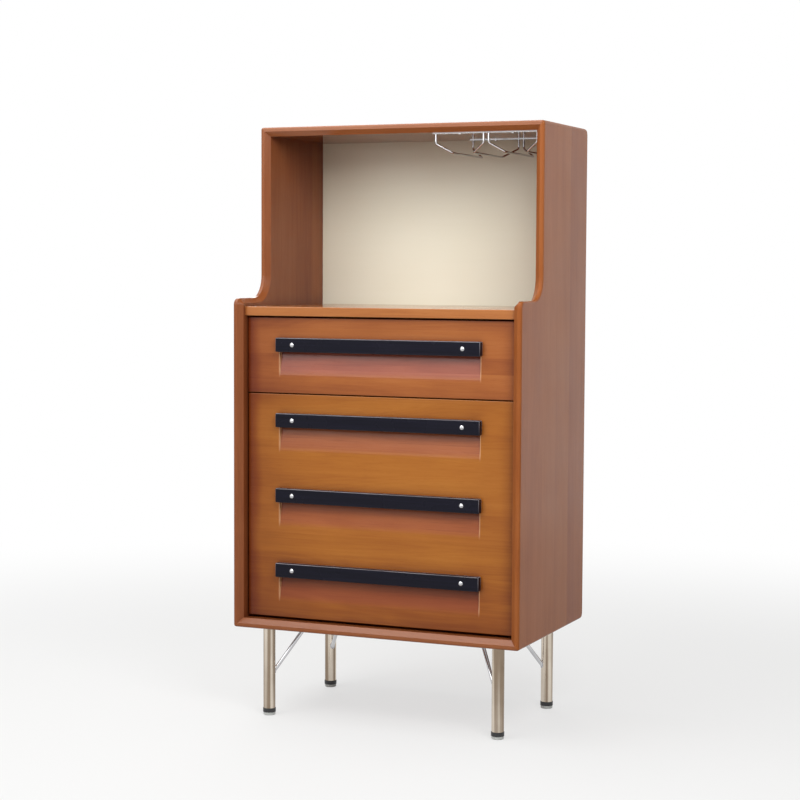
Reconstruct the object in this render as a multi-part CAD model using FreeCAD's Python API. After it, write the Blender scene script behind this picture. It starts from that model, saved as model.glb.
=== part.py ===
import FreeCAD
import Part
import math
import os

from FreeCAD import Vector

# Overall sizes in millimetres: floor at zero, front facing minus Y, middle of the depth at zero
WIDTH = 600.0
DEPTH = 380.0
HEIGHT = 1170.0
LEG_HEIGHT = 180.0
SHOULDER_HEIGHT = 830.0
HUTCH_SETBACK = 117.0

# Carcass boards and their shaped edges
BOARD = 18.0
EDGE_CHAMFER = 9.5
EDGE_ROUND = 4.0
CORNER_RADIUS = 5.0
SHOULDER_RADIUS = 13.0
COVE_RADIUS = 44.0
REAR_RADIUS = 14.0
COUNTER_THICKNESS = 18.0
COUNTER_DROP = 16.0
COUNTER_SETBACK = 17.0
DIVIDER_THICKNESS = 18.0
SOFT_EDGE = 1.5

# Back panels, set in a rabbet round the rear of the carcass
BACK_THICKNESS = 9.0
BACK_INSET = 3.0
RABBET_WIDTH = 8.0
BACK_PLAY = 0.3
BACK_SCREW_END = 60.0
UPPER_BACK_SCREW_ROWS = 3
LOWER_BACK_SCREW_ROWS = 4

# Splines in the mitres and dowels in the fixed boards
SPLINE_THICKNESS = 4.0
SPLINE_WIDTH = 12.0
SPLINE_END = 45.0
MITRE_ANGLE = 45.0
DOWEL_DIAMETER = 8.0
DOWEL_IN_SIDE = 11.0
DOWEL_IN_BOARD = 24.0
DOWEL_END = 45.0
DOWELS_PER_END = 3
BORE_PLAY = 0.1
BORE_OVERRUN = 0.5

# Shelf on four pins
SHELF_THICKNESS = 15.0
SHELF_PLAY = 0.8
SHELF_SETBACK = 25.0
PIN_DIAMETER = 5.0
PIN_IN_SIDE = 8.0
PIN_UNDER_SHELF = 8.0
PIN_INSET = 40.0
PIN_ROW_PITCH = 32.0
PIN_ROWS = 5

# Drawer front and door, set back inside the carcass
FRONT_RECESS = 25.0
FRONT_THICKNESS = 20.0
FRONT_TOP_GAP = 3.0
FRONT_BOTTOM_GAP = 4.5
FRONT_SPLIT_GAP = 2.0
FRONT_BEHIND_GAP = 1.5
DRAWER_SIDE_GAP = 2.0
DOOR_LATCH_GAP = 3.0
FRONT_MODULES = 4

# Bar pulls, their domed screws and the finger scoops under them
BAR_LENGTH = 428.0
BAR_HEIGHT = 28.0
BAR_DEPTH = 13.0
BAR_ROUND = 2.5
BAR_DROP = 53.0
BAR_SCREW_SPACING = 356.0
BAR_SCREW_HEAD_DIAMETER = 9.0
BAR_SCREW_HEAD_HEIGHT = 2.4
BAR_SCREW_SHANK_DIAMETER = 4.0
BAR_SCREW_BITE = 11.0
SCOOP_WIDTH = 421.0
SCOOP_DEPTH = 9.5
SCOOP_BELOW_BAR = 45.0
SCOOP_BEHIND_BAR = 8.0

# Drawer box
BOX_REAR_GAP = 23.0
BOX_HEIGHT = 104.0
BOX_LIFT = 6.0
BOX_SIDE = 12.0
BOX_BOTTOM = 6.0
BOX_GROOVE = 5.0
BOX_BOTTOM_RISE = 8.0
BOX_BOTTOM_PLAY = 0.3
BOX_SCREW_INSET = 60.0
BOX_SCREW_SPACING = 36.0
BOX_SCREW_BITE = 10.0

# Telescopic drawer slides
SLIDE_SPACE = 13.0
SLIDE_HEIGHT = 45.0
SLIDE_STEEL = 1.2
SLIDE_GAP = 0.3
SLIDE_FRONT_GAP = 2.0
SLIDE_REAR_GAP = 26.0
SLIDE_CHANNEL_DEPTH = 8.5
SLIDE_LIP = 3.8
SLIDE_SCREW_END = 40.0
SLIDE_SCREW_BITE = 8.0
SLIDE_SCREWS = 3

# Concealed door hinges: pivot place in the door, cup, pin, gooseneck arm and mounting plate
HINGE_END = 85.0
HINGE_PIVOT_FROM_EDGE = 18.0
HINGE_PIVOT_FROM_BACK = 11.0
HINGE_SWING_CLEARANCE = 0.9
CUP_DIAMETER = 35.0
CUP_FROM_EDGE = 22.0
CUP_DEPTH = 15.5
CUP_WALL = 1.0
CUP_RIM = 2.0
CUP_FLANGE_THICKNESS = 1.5
CUP_FLANGE_WIDTH = 18.0
CUP_FLANGE_HEIGHT = 64.0
CUP_SCREW_SPACING = 48.0
HINGE_PIN_DIAMETER = 3.0
HINGE_PIN_PLAY = 0.05
HINGE_EYE_DIAMETER = 6.4
ARM_THICKNESS = 2.0
ARM_HEIGHT = 8.0
ARM_LEAVING_ANGLE = 37.0
ARM_NECK_RADIUS = 24.5
ARM_BEND_RADIUS = 6.0
ARM_LENGTH = 80.0
PLATE_THICKNESS = 3.0
PLATE_LENGTH = 45.0
PLATE_HEIGHT = 44.0
PLATE_SCREW_SPACING = 32.0

# Magnetic catch on the right side panel and its strike plate on the door
CATCH_WIDTH = 14.0
CATCH_LENGTH = 18.0
CATCH_HEIGHT = 44.0
CATCH_FROM_TOP = 60.0
CATCH_GAP = 0.3
CATCH_ROUND = 2.0
STRIKE_THICKNESS = 1.5
STRIKE_WIDTH = 12.0
STRIKE_HEIGHT = 36.0
STRIKE_EDGE = 2.0

# Steel legs with slanted braces, mounting plates and feet
LEG_DIAMETER = 24.0
LEG_WALL = 2.0
LEG_SIDE_INSET = 57.0
LEG_FRONT_INSET = 45.0
LEG_BACK_INSET = 51.0
LEG_PLATE_THICKNESS = 4.0
LEG_PLATE_MARGIN = 9.0
BRACE_DIAMETER = 8.0
BRACE_REACH = 56.0
BRACE_LOW_HEIGHT = 75.0
FOOT_RING_HEIGHT = 8.0
FOOT_RING_PROUD = 0.8
FOOT_PLUG_LENGTH = 12.0
FOOT_PLUG_PLAY = 0.1
FOOT_PAD_HEIGHT = 6.0
FOOT_PAD_ROUND = 1.5

# Wire rack for stemmed glasses, under the top at the right
RACK_WIRE = 4.0
RACK_CHANNELS = 2
RACK_CHANNEL_WIDTH = 99.0
RACK_CHANNEL_PITCH = 109.5
RACK_STEM_WIDTH = 43.0
RACK_SIDE_GAP = 8.0
RACK_FRONT_SETBACK = 35.0
RACK_REAR_GAP = 16.0
RACK_HANGER = 20.0
RACK_SLOPE_DROP = 17.5
RACK_SLOPE_RUN = 20.0
RACK_BEND_RADIUS = 7.0
RACK_STRAP_THICKNESS = 1.5
RACK_STRAP_WIDTH = 12.0
RACK_STRAP_OVERHANG = 3.0

# Small wood screws
SCREW_SHANK_DIAMETER = 3.4
SCREW_HEAD_DIAMETER = 7.0
SCREW_HEAD_HEIGHT = 2.0
SCREW_LENGTH = 12.0

# Places that follow from the sizes
FRONT = -DEPTH / 2
BACK = DEPTH / 2
SIDE = WIDTH / 2
INNER = SIDE - BOARD
HUTCH_FRONT = FRONT + HUTCH_SETBACK
FLOOR_TOP = LEG_HEIGHT + BOARD
CEILING = HEIGHT - BOARD
COUNTER_TOP = SHOULDER_HEIGHT - COUNTER_DROP
COUNTER_BOTTOM = COUNTER_TOP - COUNTER_THICKNESS
BACK_FACE = BACK - BACK_INSET - BACK_THICKNESS
FACE = FRONT + FRONT_RECESS
FRONT_REAR = FACE + FRONT_THICKNESS
FRONTS_TOP = COUNTER_BOTTOM - FRONT_TOP_GAP
DOOR_BOTTOM = FLOOR_TOP + FRONT_BOTTOM_GAP
MODULE = (FRONTS_TOP - DOOR_BOTTOM) / FRONT_MODULES
DRAWER_BOTTOM = FRONTS_TOP - MODULE
DOOR_TOP = DRAWER_BOTTOM - FRONT_SPLIT_GAP
BAR_CENTRES = [FRONTS_TOP - BAR_DROP - index * MODULE for index in range(FRONT_MODULES)]
BAR_FACE = FACE - BAR_DEPTH
DIVIDER_TOP = DRAWER_BOTTOM + DIVIDER_THICKNESS
DIVIDER_FRONT = FRONT_REAR + FRONT_BEHIND_GAP
SHELF_FRONT = FRONT_REAR + SHELF_SETBACK
SHELF_BACK = BACK_FACE - SHELF_PLAY
SHELF_BOTTOM = (FLOOR_TOP + DRAWER_BOTTOM - SHELF_THICKNESS) / 2
BOX_SIDE_OUT = INNER - SLIDE_SPACE
BOX_LOW = DIVIDER_TOP + BOX_LIFT
BOX_REAR = BACK_FACE - BOX_REAR_GAP
SLIDE_MIDDLE = BOX_LOW + BOX_HEIGHT / 2
SLIDE_FRONT = FRONT_REAR + SLIDE_FRONT_GAP
SLIDE_REAR = BACK_FACE - SLIDE_REAR_GAP
PIVOT_FROM_FACE = FRONT_THICKNESS - HINGE_PIVOT_FROM_BACK
CORNER_SWING = math.hypot(HINGE_PIVOT_FROM_EDGE, PIVOT_FROM_FACE) - HINGE_PIVOT_FROM_EDGE
DOOR_HINGE_GAP = CORNER_SWING + HINGE_SWING_CLEARANCE
DOOR_LEFT = -INNER + DOOR_HINGE_GAP
DOOR_RIGHT = INNER - DOOR_LATCH_GAP
PIVOT_X = DOOR_LEFT + HINGE_PIVOT_FROM_EDGE
PIVOT_Y = FACE + PIVOT_FROM_FACE
HINGE_HEIGHTS = {"lower": DOOR_BOTTOM + HINGE_END, "upper": DOOR_TOP - HINGE_END}
CATCH_MIDDLE = DOOR_TOP - CATCH_FROM_TOP
LEG_X = SIDE - LEG_SIDE_INSET
LEG_FRONT_Y = FRONT + LEG_FRONT_INSET
LEG_BACK_Y = BACK - LEG_BACK_INSET
LEG_TOP = LEG_HEIGHT - LEG_PLATE_THICKNESS
LEG_BOTTOM = FOOT_PAD_HEIGHT + FOOT_RING_HEIGHT
LEGS = {
    "front_left": (-LEG_X, LEG_FRONT_Y, 1, 1),
    "front_right": (LEG_X, LEG_FRONT_Y, -1, 1),
    "back_left": (-LEG_X, LEG_BACK_Y, 1, -1),
    "back_right": (LEG_X, LEG_BACK_Y, -1, -1),
}
RACK_FRONT = HUTCH_FRONT + RACK_FRONT_SETBACK
RACK_BACK = BACK_FACE - RACK_REAR_GAP
RACK_WIRE_TOP = CEILING - RACK_STRAP_THICKNESS
RACK_BEND_HEIGHT = CEILING - RACK_HANGER
RACK_RAIL_HEIGHT = RACK_BEND_HEIGHT - RACK_SLOPE_DROP
RACK_RIGHT = INNER - RACK_SIDE_GAP
RACK_CENTRES = [
    RACK_RIGHT - RACK_CHANNEL_WIDTH / 2 - RACK_CHANNEL_PITCH * (RACK_CHANNELS - 1 - index)
    for index in range(RACK_CHANNELS)
]

X_AXIS = Vector(1, 0, 0)
Y_AXIS = Vector(0, 1, 0)
Z_AXIS = Vector(0, 0, 1)
TOUCH = 1e-4
CUT_PAST = 1.0
FULL_TURN = 360.0


# Shape helpers

def box(low, high):
    return Part.makeBox(high[0] - low[0], high[1] - low[1], high[2] - low[2], Vector(*low))


def cylinder(diameter, start, direction, length):
    return Part.makeCylinder(diameter / 2, length, start, direction)


def mirrored(shape):
    return shape.mirror(Vector(0, 0, 0), X_AXIS)


def group(solids):
    return Part.makeCompound(solids)


def spread(low, high, count):
    step = (high - low) / (count - 1)
    return [low + step * index for index in range(count)]


def rounded_path(corners, closed):
    """Wire through (point, radius) corners, each rounded by a tangent arc."""
    count = len(corners)
    turns = []
    for index, (corner, radius) in enumerate(corners):
        is_end = not closed and index in (0, count - 1)
        if is_end or radius == 0:
            turns.append((corner, None, corner))
            continue
        to_previous = (corners[index - 1][0] - corner).normalize()
        to_next = (corners[(index + 1) % count][0] - corner).normalize()
        half_angle = to_previous.getAngle(to_next) / 2
        reach = radius / math.tan(half_angle)
        inward = (to_previous + to_next).normalize()
        middle = corner + inward * (radius / math.sin(half_angle) - radius)
        turns.append((corner + to_previous * reach, middle, corner + to_next * reach))
    edges = []
    for index, (entry, middle, leave) in enumerate(turns):
        if middle is not None:
            edges.append(Part.Arc(entry, middle, leave).toShape())
        if not closed and index == count - 1:
            break
        following = turns[(index + 1) % count][0]
        if leave.distanceToPoint(following) > TOUCH:
            edges.append(Part.LineSegment(leave, following).toShape())
    return Part.Wire(edges)


def prism(corners, direction):
    return Part.Face(rounded_path(corners, True)).extrude(direction)


def side_prism(corners, low_x, high_x):
    """Prism along X from (y, z, radius) corners."""
    placed = [(Vector(low_x, y, z), radius) for y, z, radius in corners]
    return prism(placed, X_AXIS * (high_x - low_x))


def front_prism(corners, low_y, high_y):
    """Prism along Y from (x, z, radius) corners."""
    placed = [(Vector(x, low_y, z), radius) for x, z, radius in corners]
    return prism(placed, Y_AXIS * (high_y - low_y))


def edges_where(shape, test):
    """Edges whose ends and middle all pass the test."""
    chosen = []
    for edge in shape.Edges:
        first, last = edge.ParameterRange
        points = [edge.valueAt(first), edge.valueAt((first + last) / 2), edge.valueAt(last)]
        if all(test(point) for point in points):
            chosen.append(edge)
    return chosen


def near(value, target):
    return abs(value - target) < TOUCH


def soften(shape, radius, test):
    return shape.makeFillet(radius, edges_where(shape, test))


def wood_screw(seat, direction, length):
    """Pan head on the seat, shank running along the direction."""
    shank = cylinder(SCREW_SHANK_DIAMETER, seat, direction, length)
    head = cylinder(SCREW_HEAD_DIAMETER, seat, direction * -1, SCREW_HEAD_HEIGHT)
    return shank.fuse(head).removeSplitter()


def screw_bore(seat, direction, length):
    diameter = SCREW_SHANK_DIAMETER + 2 * BORE_PLAY
    return cylinder(diameter, seat, direction, length + BORE_OVERRUN)


# Carcass: a ring of four mitred boards

FRONT_LINE = [
    (FRONT, LEG_HEIGHT, 0),
    (FRONT, SHOULDER_HEIGHT, SHOULDER_RADIUS),
    (HUTCH_FRONT, SHOULDER_HEIGHT, COVE_RADIUS),
    (HUTCH_FRONT, HEIGHT, 0),
]
OUTLINE = [
    (-SIDE, LEG_HEIGHT, CORNER_RADIUS),
    (SIDE, LEG_HEIGHT, CORNER_RADIUS),
    (SIDE, HEIGHT, CORNER_RADIUS),
    (-SIDE, HEIGHT, CORNER_RADIUS),
]


def carcass_ring():
    profile = FRONT_LINE + [(BACK, HEIGHT, REAR_RADIUS), (BACK, LEG_HEIGHT, REAR_RADIUS)]
    interior = box((-INNER, FRONT - CUT_PAST, FLOOR_TOP), (INNER, BACK + CUT_PAST, CEILING))
    ring = front_prism(OUTLINE, FRONT, BACK).common(side_prism(profile, -SIDE, SIDE)).cut(interior)
    front_line = rounded_path([(Vector(0, y, z), radius) for y, z, radius in FRONT_LINE], False)
    outline = rounded_path([(Vector(x, 0, z), radius) for x, z, radius in OUTLINE], True)

    def on_outer_front(point):
        from_side = Part.Vertex(0, point.y, point.z).distToShape(front_line)[0]
        from_front = Part.Vertex(point.x, 0, point.z).distToShape(outline)[0]
        return from_side < TOUCH and from_front < TOUCH

    return soften(ring, EDGE_ROUND, on_outer_front)


def rear_rabbet():
    low = (-INNER - RABBET_WIDTH, BACK_FACE, FLOOR_TOP - RABBET_WIDTH)
    high = (INNER + RABBET_WIDTH, BACK + CUT_PAST, CEILING + RABBET_WIDTH)
    return box(low, high)


def side_chamfer_waste():
    """Strip taken off the inner front edge of the left side panel, round its shoulder and cove."""
    corners = FRONT_LINE + [(BACK, HEIGHT, 0), (BACK, LEG_HEIGHT, 0)]
    slab = side_prism(corners, -SIDE, -INNER)
    front_line = rounded_path([(Vector(0, y, z), radius) for y, z, radius in FRONT_LINE], False)

    def on_inner_front(point):
        from_side = Part.Vertex(0, point.y, point.z).distToShape(front_line)[0]
        return near(point.x, -INNER) and from_side < TOUCH

    inner_front = [edge for edge in edges_where(slab, on_inner_front) if edge.Length > TOUCH]
    return slab.cut(slab.makeChamfer(EDGE_CHAMFER, inner_front))


def level_chamfer_waste(front, height, rise):
    corners = [
        (front, height, 0),
        (front, height + rise, 0),
        (front + EDGE_CHAMFER, height, 0),
    ]
    return side_prism(corners, -SIDE, SIDE)


def mitre_splines():
    """Loose tongues across the four mitres, each with the slot that takes it."""
    half_width = SPLINE_WIDTH / 2
    half_thickness = SPLINE_THICKNESS / 2
    middle_x = SIDE - BOARD / 2
    starts = {HEIGHT - BOARD / 2: HUTCH_FRONT + SPLINE_END, LEG_HEIGHT + BOARD / 2: FRONT + SPLINE_END}
    splines = []
    slots = []
    for height, start in starts.items():
        length = BACK_FACE - SPLINE_END - start
        for side in (-1, 1):
            middle = Vector(side * middle_x, 0, height)
            tilt = MITRE_ANGLE if (side > 0) == (height > SHOULDER_HEIGHT) else -MITRE_ANGLE
            for play, solids in ((0, splines), (BORE_PLAY, slots)):
                low = (-half_width - play, start - play, -half_thickness - play)
                high = (half_width + play, start + length + play, half_thickness + play)
                strip = box(low, high)
                strip.rotate(Vector(0, 0, 0), Y_AXIS, tilt)
                strip.translate(middle)
                solids.append(strip)
    return splines, slots


def end_dowels(front, back, middle_height):
    """Dowels in both ends of a fixed board, with the bores for them."""
    dowels = []
    bores = []
    length = DOWEL_IN_SIDE + DOWEL_IN_BOARD
    for side in (-1, 1):
        for place in spread(front + DOWEL_END, back - DOWEL_END, DOWELS_PER_END):
            start = Vector(side * (INNER + DOWEL_IN_SIDE), place, middle_height)
            into_board = Vector(-side, 0, 0)
            dowels.append(cylinder(DOWEL_DIAMETER, start, into_board, length))
            bore_start = start - into_board * BORE_OVERRUN
            bore_length = length + 2 * BORE_OVERRUN
            bores.append(cylinder(DOWEL_DIAMETER + 2 * BORE_PLAY, bore_start, into_board, bore_length))
    return dowels, bores


def shelf_pins():
    """Four pins under the shelf, and the rows of holes in the side panels."""
    pins = []
    holes = []
    pin_height = SHELF_BOTTOM - PIN_DIAMETER / 2
    first_row = pin_height - PIN_ROW_PITCH * (PIN_ROWS // 2)
    for side in (-1, 1):
        inward = Vector(-side, 0, 0)
        for place in (SHELF_FRONT + PIN_INSET, SHELF_BACK - PIN_INSET):
            start = Vector(side * (INNER + PIN_IN_SIDE), place, pin_height)
            pins.append(cylinder(PIN_DIAMETER, start, inward, PIN_IN_SIDE + PIN_UNDER_SHELF))
            for row in range(PIN_ROWS):
                mouth = Vector(side * INNER, place, first_row + row * PIN_ROW_PITCH)
                depth = PIN_IN_SIDE + BORE_OVERRUN
                holes.append(cylinder(PIN_DIAMETER + 2 * BORE_PLAY, mouth, inward * -1, depth))
    return pins, holes


def back_panels():
    seam = COUNTER_BOTTOM + COUNTER_THICKNESS / 2
    reach = INNER + RABBET_WIDTH - BACK_PLAY
    rear = BACK_FACE + BACK_THICKNESS
    top = CEILING + RABBET_WIDTH - BACK_PLAY
    bottom = FLOOR_TOP - RABBET_WIDTH + BACK_PLAY
    upper = box((-reach, BACK_FACE, seam), (reach, rear, top))
    lower = box((-reach, BACK_FACE, bottom), (reach, rear, seam))
    rows = spread(seam + BACK_SCREW_END, top - BACK_SCREW_END, UPPER_BACK_SCREW_ROWS)
    rows += spread(bottom + BACK_SCREW_END, seam - BACK_SCREW_END, LOWER_BACK_SCREW_ROWS)
    seats = [Vector(side * (INNER + RABBET_WIDTH / 2), rear, height) for side in (-1, 1) for height in rows]
    length = BACK_THICKNESS + SCREW_LENGTH
    screws = [wood_screw(seat, Y_AXIS * -1, length) for seat in seats]
    bores = [screw_bore(seat, Y_AXIS * -1, length) for seat in seats]
    return upper.cut(bores), lower.cut(bores), screws, bores


def fixed_board(front, low, high, bores):
    """Board between the sides, from its front edge to the back panel."""
    board = box((-INNER, front, low), (INNER, BACK_FACE, high))

    def on_front_edge(point):
        return near(point.y, front) and (near(point.z, low) or near(point.z, high))

    return soften(board, SOFT_EDGE, on_front_edge).cut(bores)


def adjustable_shelf():
    reach = INNER - SHELF_PLAY
    top = SHELF_BOTTOM + SHELF_THICKNESS

    def on_front_edge(point):
        return near(point.y, SHELF_FRONT) and (near(point.z, SHELF_BOTTOM) or near(point.z, top))

    shelf = box((-reach, SHELF_FRONT, SHELF_BOTTOM), (reach, SHELF_BACK, top))
    return soften(shelf, SOFT_EDGE, on_front_edge)


# Drawer front and door, with their scoops and bar pulls

def front_board(left, right, low, high, bar_heights):
    board = box((left, FACE, low), (right, FRONT_REAR, high))
    board = soften(board, SOFT_EDGE, lambda point: near(point.y, FACE))
    cuts = [finger_scoop(height) for height in bar_heights]
    cuts += [bar_screw_bore(seat) for height in bar_heights for seat in bar_screw_seats(height)]
    return board.cut(cuts)


def finger_scoop(bar_height):
    bar_low = bar_height - BAR_HEIGHT / 2
    corners = [
        (FACE, bar_low + SCOOP_BEHIND_BAR, 0),
        (FACE + SCOOP_DEPTH, bar_low + SCOOP_BEHIND_BAR, 0),
        (FACE, bar_low - SCOOP_BELOW_BAR, 0),
    ]
    return side_prism(corners, -SCOOP_WIDTH / 2, SCOOP_WIDTH / 2)


def bar_screw_seats(bar_height):
    return [Vector(side * BAR_SCREW_SPACING / 2, BAR_FACE, bar_height) for side in (-1, 1)]


def bar_screw_bore(seat):
    diameter = BAR_SCREW_SHANK_DIAMETER + 2 * BORE_PLAY
    return cylinder(diameter, seat, Y_AXIS, BAR_DEPTH + BAR_SCREW_BITE + BORE_OVERRUN)


def bar_pull(bar_height):
    half_length = BAR_LENGTH / 2
    half_height = BAR_HEIGHT / 2
    low = (-half_length, BAR_FACE, bar_height - half_height)
    high = (half_length, FACE, bar_height + half_height)
    bar = box(low, high)
    bar = bar.makeFillet(BAR_ROUND, [edge for edge in bar.Edges if not near(edge.CenterOfMass.y, FACE)])
    return bar.cut([bar_screw_bore(seat) for seat in bar_screw_seats(bar_height)])


def domed_screw(seat):
    """Round-topped screw whose head sits on the bar's face."""
    radius = BAR_SCREW_HEAD_DIAMETER / 2
    height = BAR_SCREW_HEAD_HEIGHT
    ball_radius = (radius ** 2 + height ** 2) / (2 * height)
    ball_centre = seat + Y_AXIS * (ball_radius - height)
    half_angle = math.asin(radius / ball_radius) / 2
    toward_middle = Vector(math.sin(half_angle), -math.cos(half_angle), 0)
    crown = seat - Y_AXIS * height
    rim = seat + X_AXIS * radius
    neck = seat + X_AXIS * (BAR_SCREW_SHANK_DIAMETER / 2)
    tip = seat + Y_AXIS * (BAR_DEPTH + BAR_SCREW_BITE)
    dome = Part.Arc(crown, ball_centre + toward_middle * ball_radius, rim).toShape()
    shank = Part.makePolygon([rim, neck, neck + tip - seat, tip, crown])
    return Part.Face(Part.Wire([dome] + shank.Edges)).revolve(seat, Y_AXIS, FULL_TURN)


def bar_screws(bar_heights):
    return group([domed_screw(seat) for height in bar_heights for seat in bar_screw_seats(height)])


# Drawer box, with its bottom in grooves

def drawer_bottom(edge_play, face_play):
    """Bottom board, or with more play the grooves round it."""
    wall = BOX_SIDE - BOX_GROOVE - edge_play
    low = BOX_LOW + BOX_BOTTOM_RISE - face_play
    high = BOX_LOW + BOX_BOTTOM_RISE + BOX_BOTTOM + face_play
    return box((wall - BOX_SIDE_OUT, FRONT_REAR + wall, low), (BOX_SIDE_OUT - wall, BOX_REAR - wall, high))


def drawer_screw_seats():
    reach = BOX_SIDE_OUT - BOX_SIDE - BOX_SCREW_INSET
    rows = (SLIDE_MIDDLE - BOX_SCREW_SPACING / 2, SLIDE_MIDDLE + BOX_SCREW_SPACING / 2)
    return [Vector(side * reach, FRONT_REAR + BOX_SIDE, row) for side in (-1, 1) for row in rows]


def drawer_nodes():
    top = BOX_LOW + BOX_HEIGHT
    side_in = BOX_SIDE_OUT - BOX_SIDE
    groove = drawer_bottom(0, BORE_PLAY)
    screw_length = BOX_SIDE + BOX_SCREW_BITE
    screws = [wood_screw(seat, Y_AXIS * -1, screw_length) for seat in drawer_screw_seats()]
    bores = [screw_bore(seat, Y_AXIS * -1, screw_length) for seat in drawer_screw_seats()]
    rail_bores = [inner_slide_screw_bore(place) for place in slide_screw_places()]
    left = box((-BOX_SIDE_OUT, FRONT_REAR, BOX_LOW), (-side_in, BOX_REAR, top))
    left = left.cut([groove] + rail_bores)
    inner_front = box((-side_in, FRONT_REAR, BOX_LOW), (side_in, FRONT_REAR + BOX_SIDE, top))
    back = box((-side_in, BOX_REAR - BOX_SIDE, BOX_LOW), (side_in, BOX_REAR, top))
    reach = INNER - DRAWER_SIDE_GAP
    front = front_board(-reach, reach, DRAWER_BOTTOM, FRONTS_TOP, BAR_CENTRES[:1])
    return {
        "drawer_front": front.cut(bores),
        "drawer_inner_front": inner_front.cut([groove] + bores),
        "drawer_left_side": left,
        "drawer_right_side": mirrored(left),
        "drawer_back": back.cut(groove),
        "drawer_bottom": drawer_bottom(-BOX_BOTTOM_PLAY, 0),
        "drawer_front_screws": group(screws),
        "drawer_bar_pull": bar_pull(BAR_CENTRES[0]),
        "drawer_pull_screws": bar_screws(BAR_CENTRES[:1]),
    }


# Telescopic slides, drawn for the left side at a distance from the side panel

def slide_strip(near_side, far_side, low, high):
    start = (-INNER + near_side, SLIDE_FRONT, SLIDE_MIDDLE + low)
    end = (-INNER + far_side, SLIDE_REAR, SLIDE_MIDDLE + high)
    return box(start, end)


def slide_channel(near_side, far_side, half_height):
    """C channel open towards the drawer, with lips that hold the member inside it."""
    inside = half_height - SLIDE_STEEL
    web = slide_strip(near_side, near_side + SLIDE_STEEL, -half_height, half_height)
    pieces = []
    for low, high in ((inside, half_height), (-half_height, -inside)):
        pieces.append(slide_strip(near_side, far_side, low, high))
    mouth = half_height - SLIDE_LIP
    for low, high in ((mouth, half_height), (-half_height, -mouth)):
        pieces.append(slide_strip(far_side - SLIDE_STEEL, far_side, low, high))
    return web.fuse(pieces).removeSplitter()


def slide_screw_places():
    return spread(SLIDE_FRONT + SLIDE_SCREW_END, SLIDE_REAR - SLIDE_SCREW_END, SLIDE_SCREWS)


def outer_slide_screw(place, play):
    """Flat-headed screw, flush in the outer member and driven into the side panel."""
    seat = Vector(-INNER + SLIDE_STEEL, place, SLIDE_MIDDLE)
    shank = SCREW_SHANK_DIAMETER / 2 + play
    head = Part.makeCone(SCREW_HEAD_DIAMETER / 2 + play, shank, SLIDE_STEEL, seat, X_AXIS * -1)
    return head.fuse(cylinder(2 * shank, seat, X_AXIS * -1, SLIDE_STEEL + SCREW_LENGTH + play))


def inner_slide_screw_seat(place):
    return Vector(-INNER + SLIDE_SPACE - SLIDE_STEEL, place, SLIDE_MIDDLE)


def inner_slide_screw_bore(place):
    return screw_bore(inner_slide_screw_seat(place), X_AXIS, SLIDE_STEEL + SLIDE_SCREW_BITE)


def slide_nodes():
    step = SLIDE_STEEL + SLIDE_GAP
    half_height = SLIDE_HEIGHT / 2
    places = slide_screw_places()
    outer = slide_channel(0, SLIDE_CHANNEL_DEPTH, half_height)
    middle = slide_channel(step, SLIDE_CHANNEL_DEPTH - step, half_height - step)
    foot_height = half_height - 2 * step
    leg_height = half_height - step - SLIDE_LIP - SLIDE_GAP
    foot = slide_strip(2 * step, 2 * step + SLIDE_STEEL, -foot_height, foot_height)
    legs = slide_strip(2 * step, SLIDE_SPACE, -leg_height, leg_height)
    hollow = slide_strip(
        2 * step + SLIDE_STEEL, SLIDE_SPACE - SLIDE_STEEL, SLIDE_STEEL - leg_height, leg_height - SLIDE_STEEL)
    inner = foot.fuse(legs).removeSplitter().cut(hollow)
    inner = inner.cut([inner_slide_screw_bore(place) for place in places])
    outer = outer.cut([outer_slide_screw(place, BORE_PLAY) for place in places])
    inner_length = SLIDE_STEEL + SLIDE_SCREW_BITE
    outer_screws = [outer_slide_screw(place, 0) for place in places]
    inner_screws = [wood_screw(inner_slide_screw_seat(place), X_AXIS, inner_length) for place in places]
    nodes = {}
    for name, member in (("outer", outer), ("middle", middle), ("inner", inner)):
        nodes["left_slide_" + name] = member
        nodes["right_slide_" + name] = mirrored(member)
    nodes["slide_case_screws"] = group(outer_screws + [mirrored(screw) for screw in outer_screws])
    nodes["slide_drawer_screws"] = group(inner_screws + [mirrored(screw) for screw in inner_screws])
    return nodes


# Concealed hinges

def hinge_arm(height):
    """Gooseneck strap from the pin in the cup, round the door's edge, to the side panel."""
    pivot = Vector(PIVOT_X, PIVOT_Y, height)
    angle = math.radians(ARM_LEAVING_ANGLE)
    leaving = Vector(math.cos(angle), math.sin(angle), 0)
    across = Vector(-math.sin(angle), math.cos(angle), 0)
    start = pivot + leaving * (HINGE_EYE_DIAMETER + HINGE_PIN_DIAMETER) / 4
    turn = pivot + leaving * (ARM_NECK_RADIUS / math.sin(angle))
    strap_x = -INNER + PLATE_THICKNESS + ARM_THICKNESS / 2
    wall_turn = Vector(strap_x, turn.y, height)
    end = Vector(strap_x, PIVOT_Y + ARM_LENGTH, height)
    bends = [(start, 0), (turn, ARM_BEND_RADIUS), (wall_turn, ARM_BEND_RADIUS), (end, 0)]
    half_across = across * (ARM_THICKNESS / 2)
    half_up = Z_AXIS * (ARM_HEIGHT / 2)
    section = Part.makePolygon([
        start + half_across + half_up,
        start - half_across + half_up,
        start - half_across - half_up,
        start + half_across - half_up,
        start + half_across + half_up,
    ])
    strap = rounded_path(bends, False).makePipeShell([section], True, False)
    eye = cylinder(HINGE_EYE_DIAMETER, pivot - half_up, Z_AXIS, ARM_HEIGHT)
    bore_diameter = HINGE_PIN_DIAMETER + 2 * HINGE_PIN_PLAY
    bore = cylinder(bore_diameter, pivot - half_up * 2, Z_AXIS, ARM_HEIGHT * 2)
    return strap.fuse(eye).cut([bore] + hinge_screw_bores(height))


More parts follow.
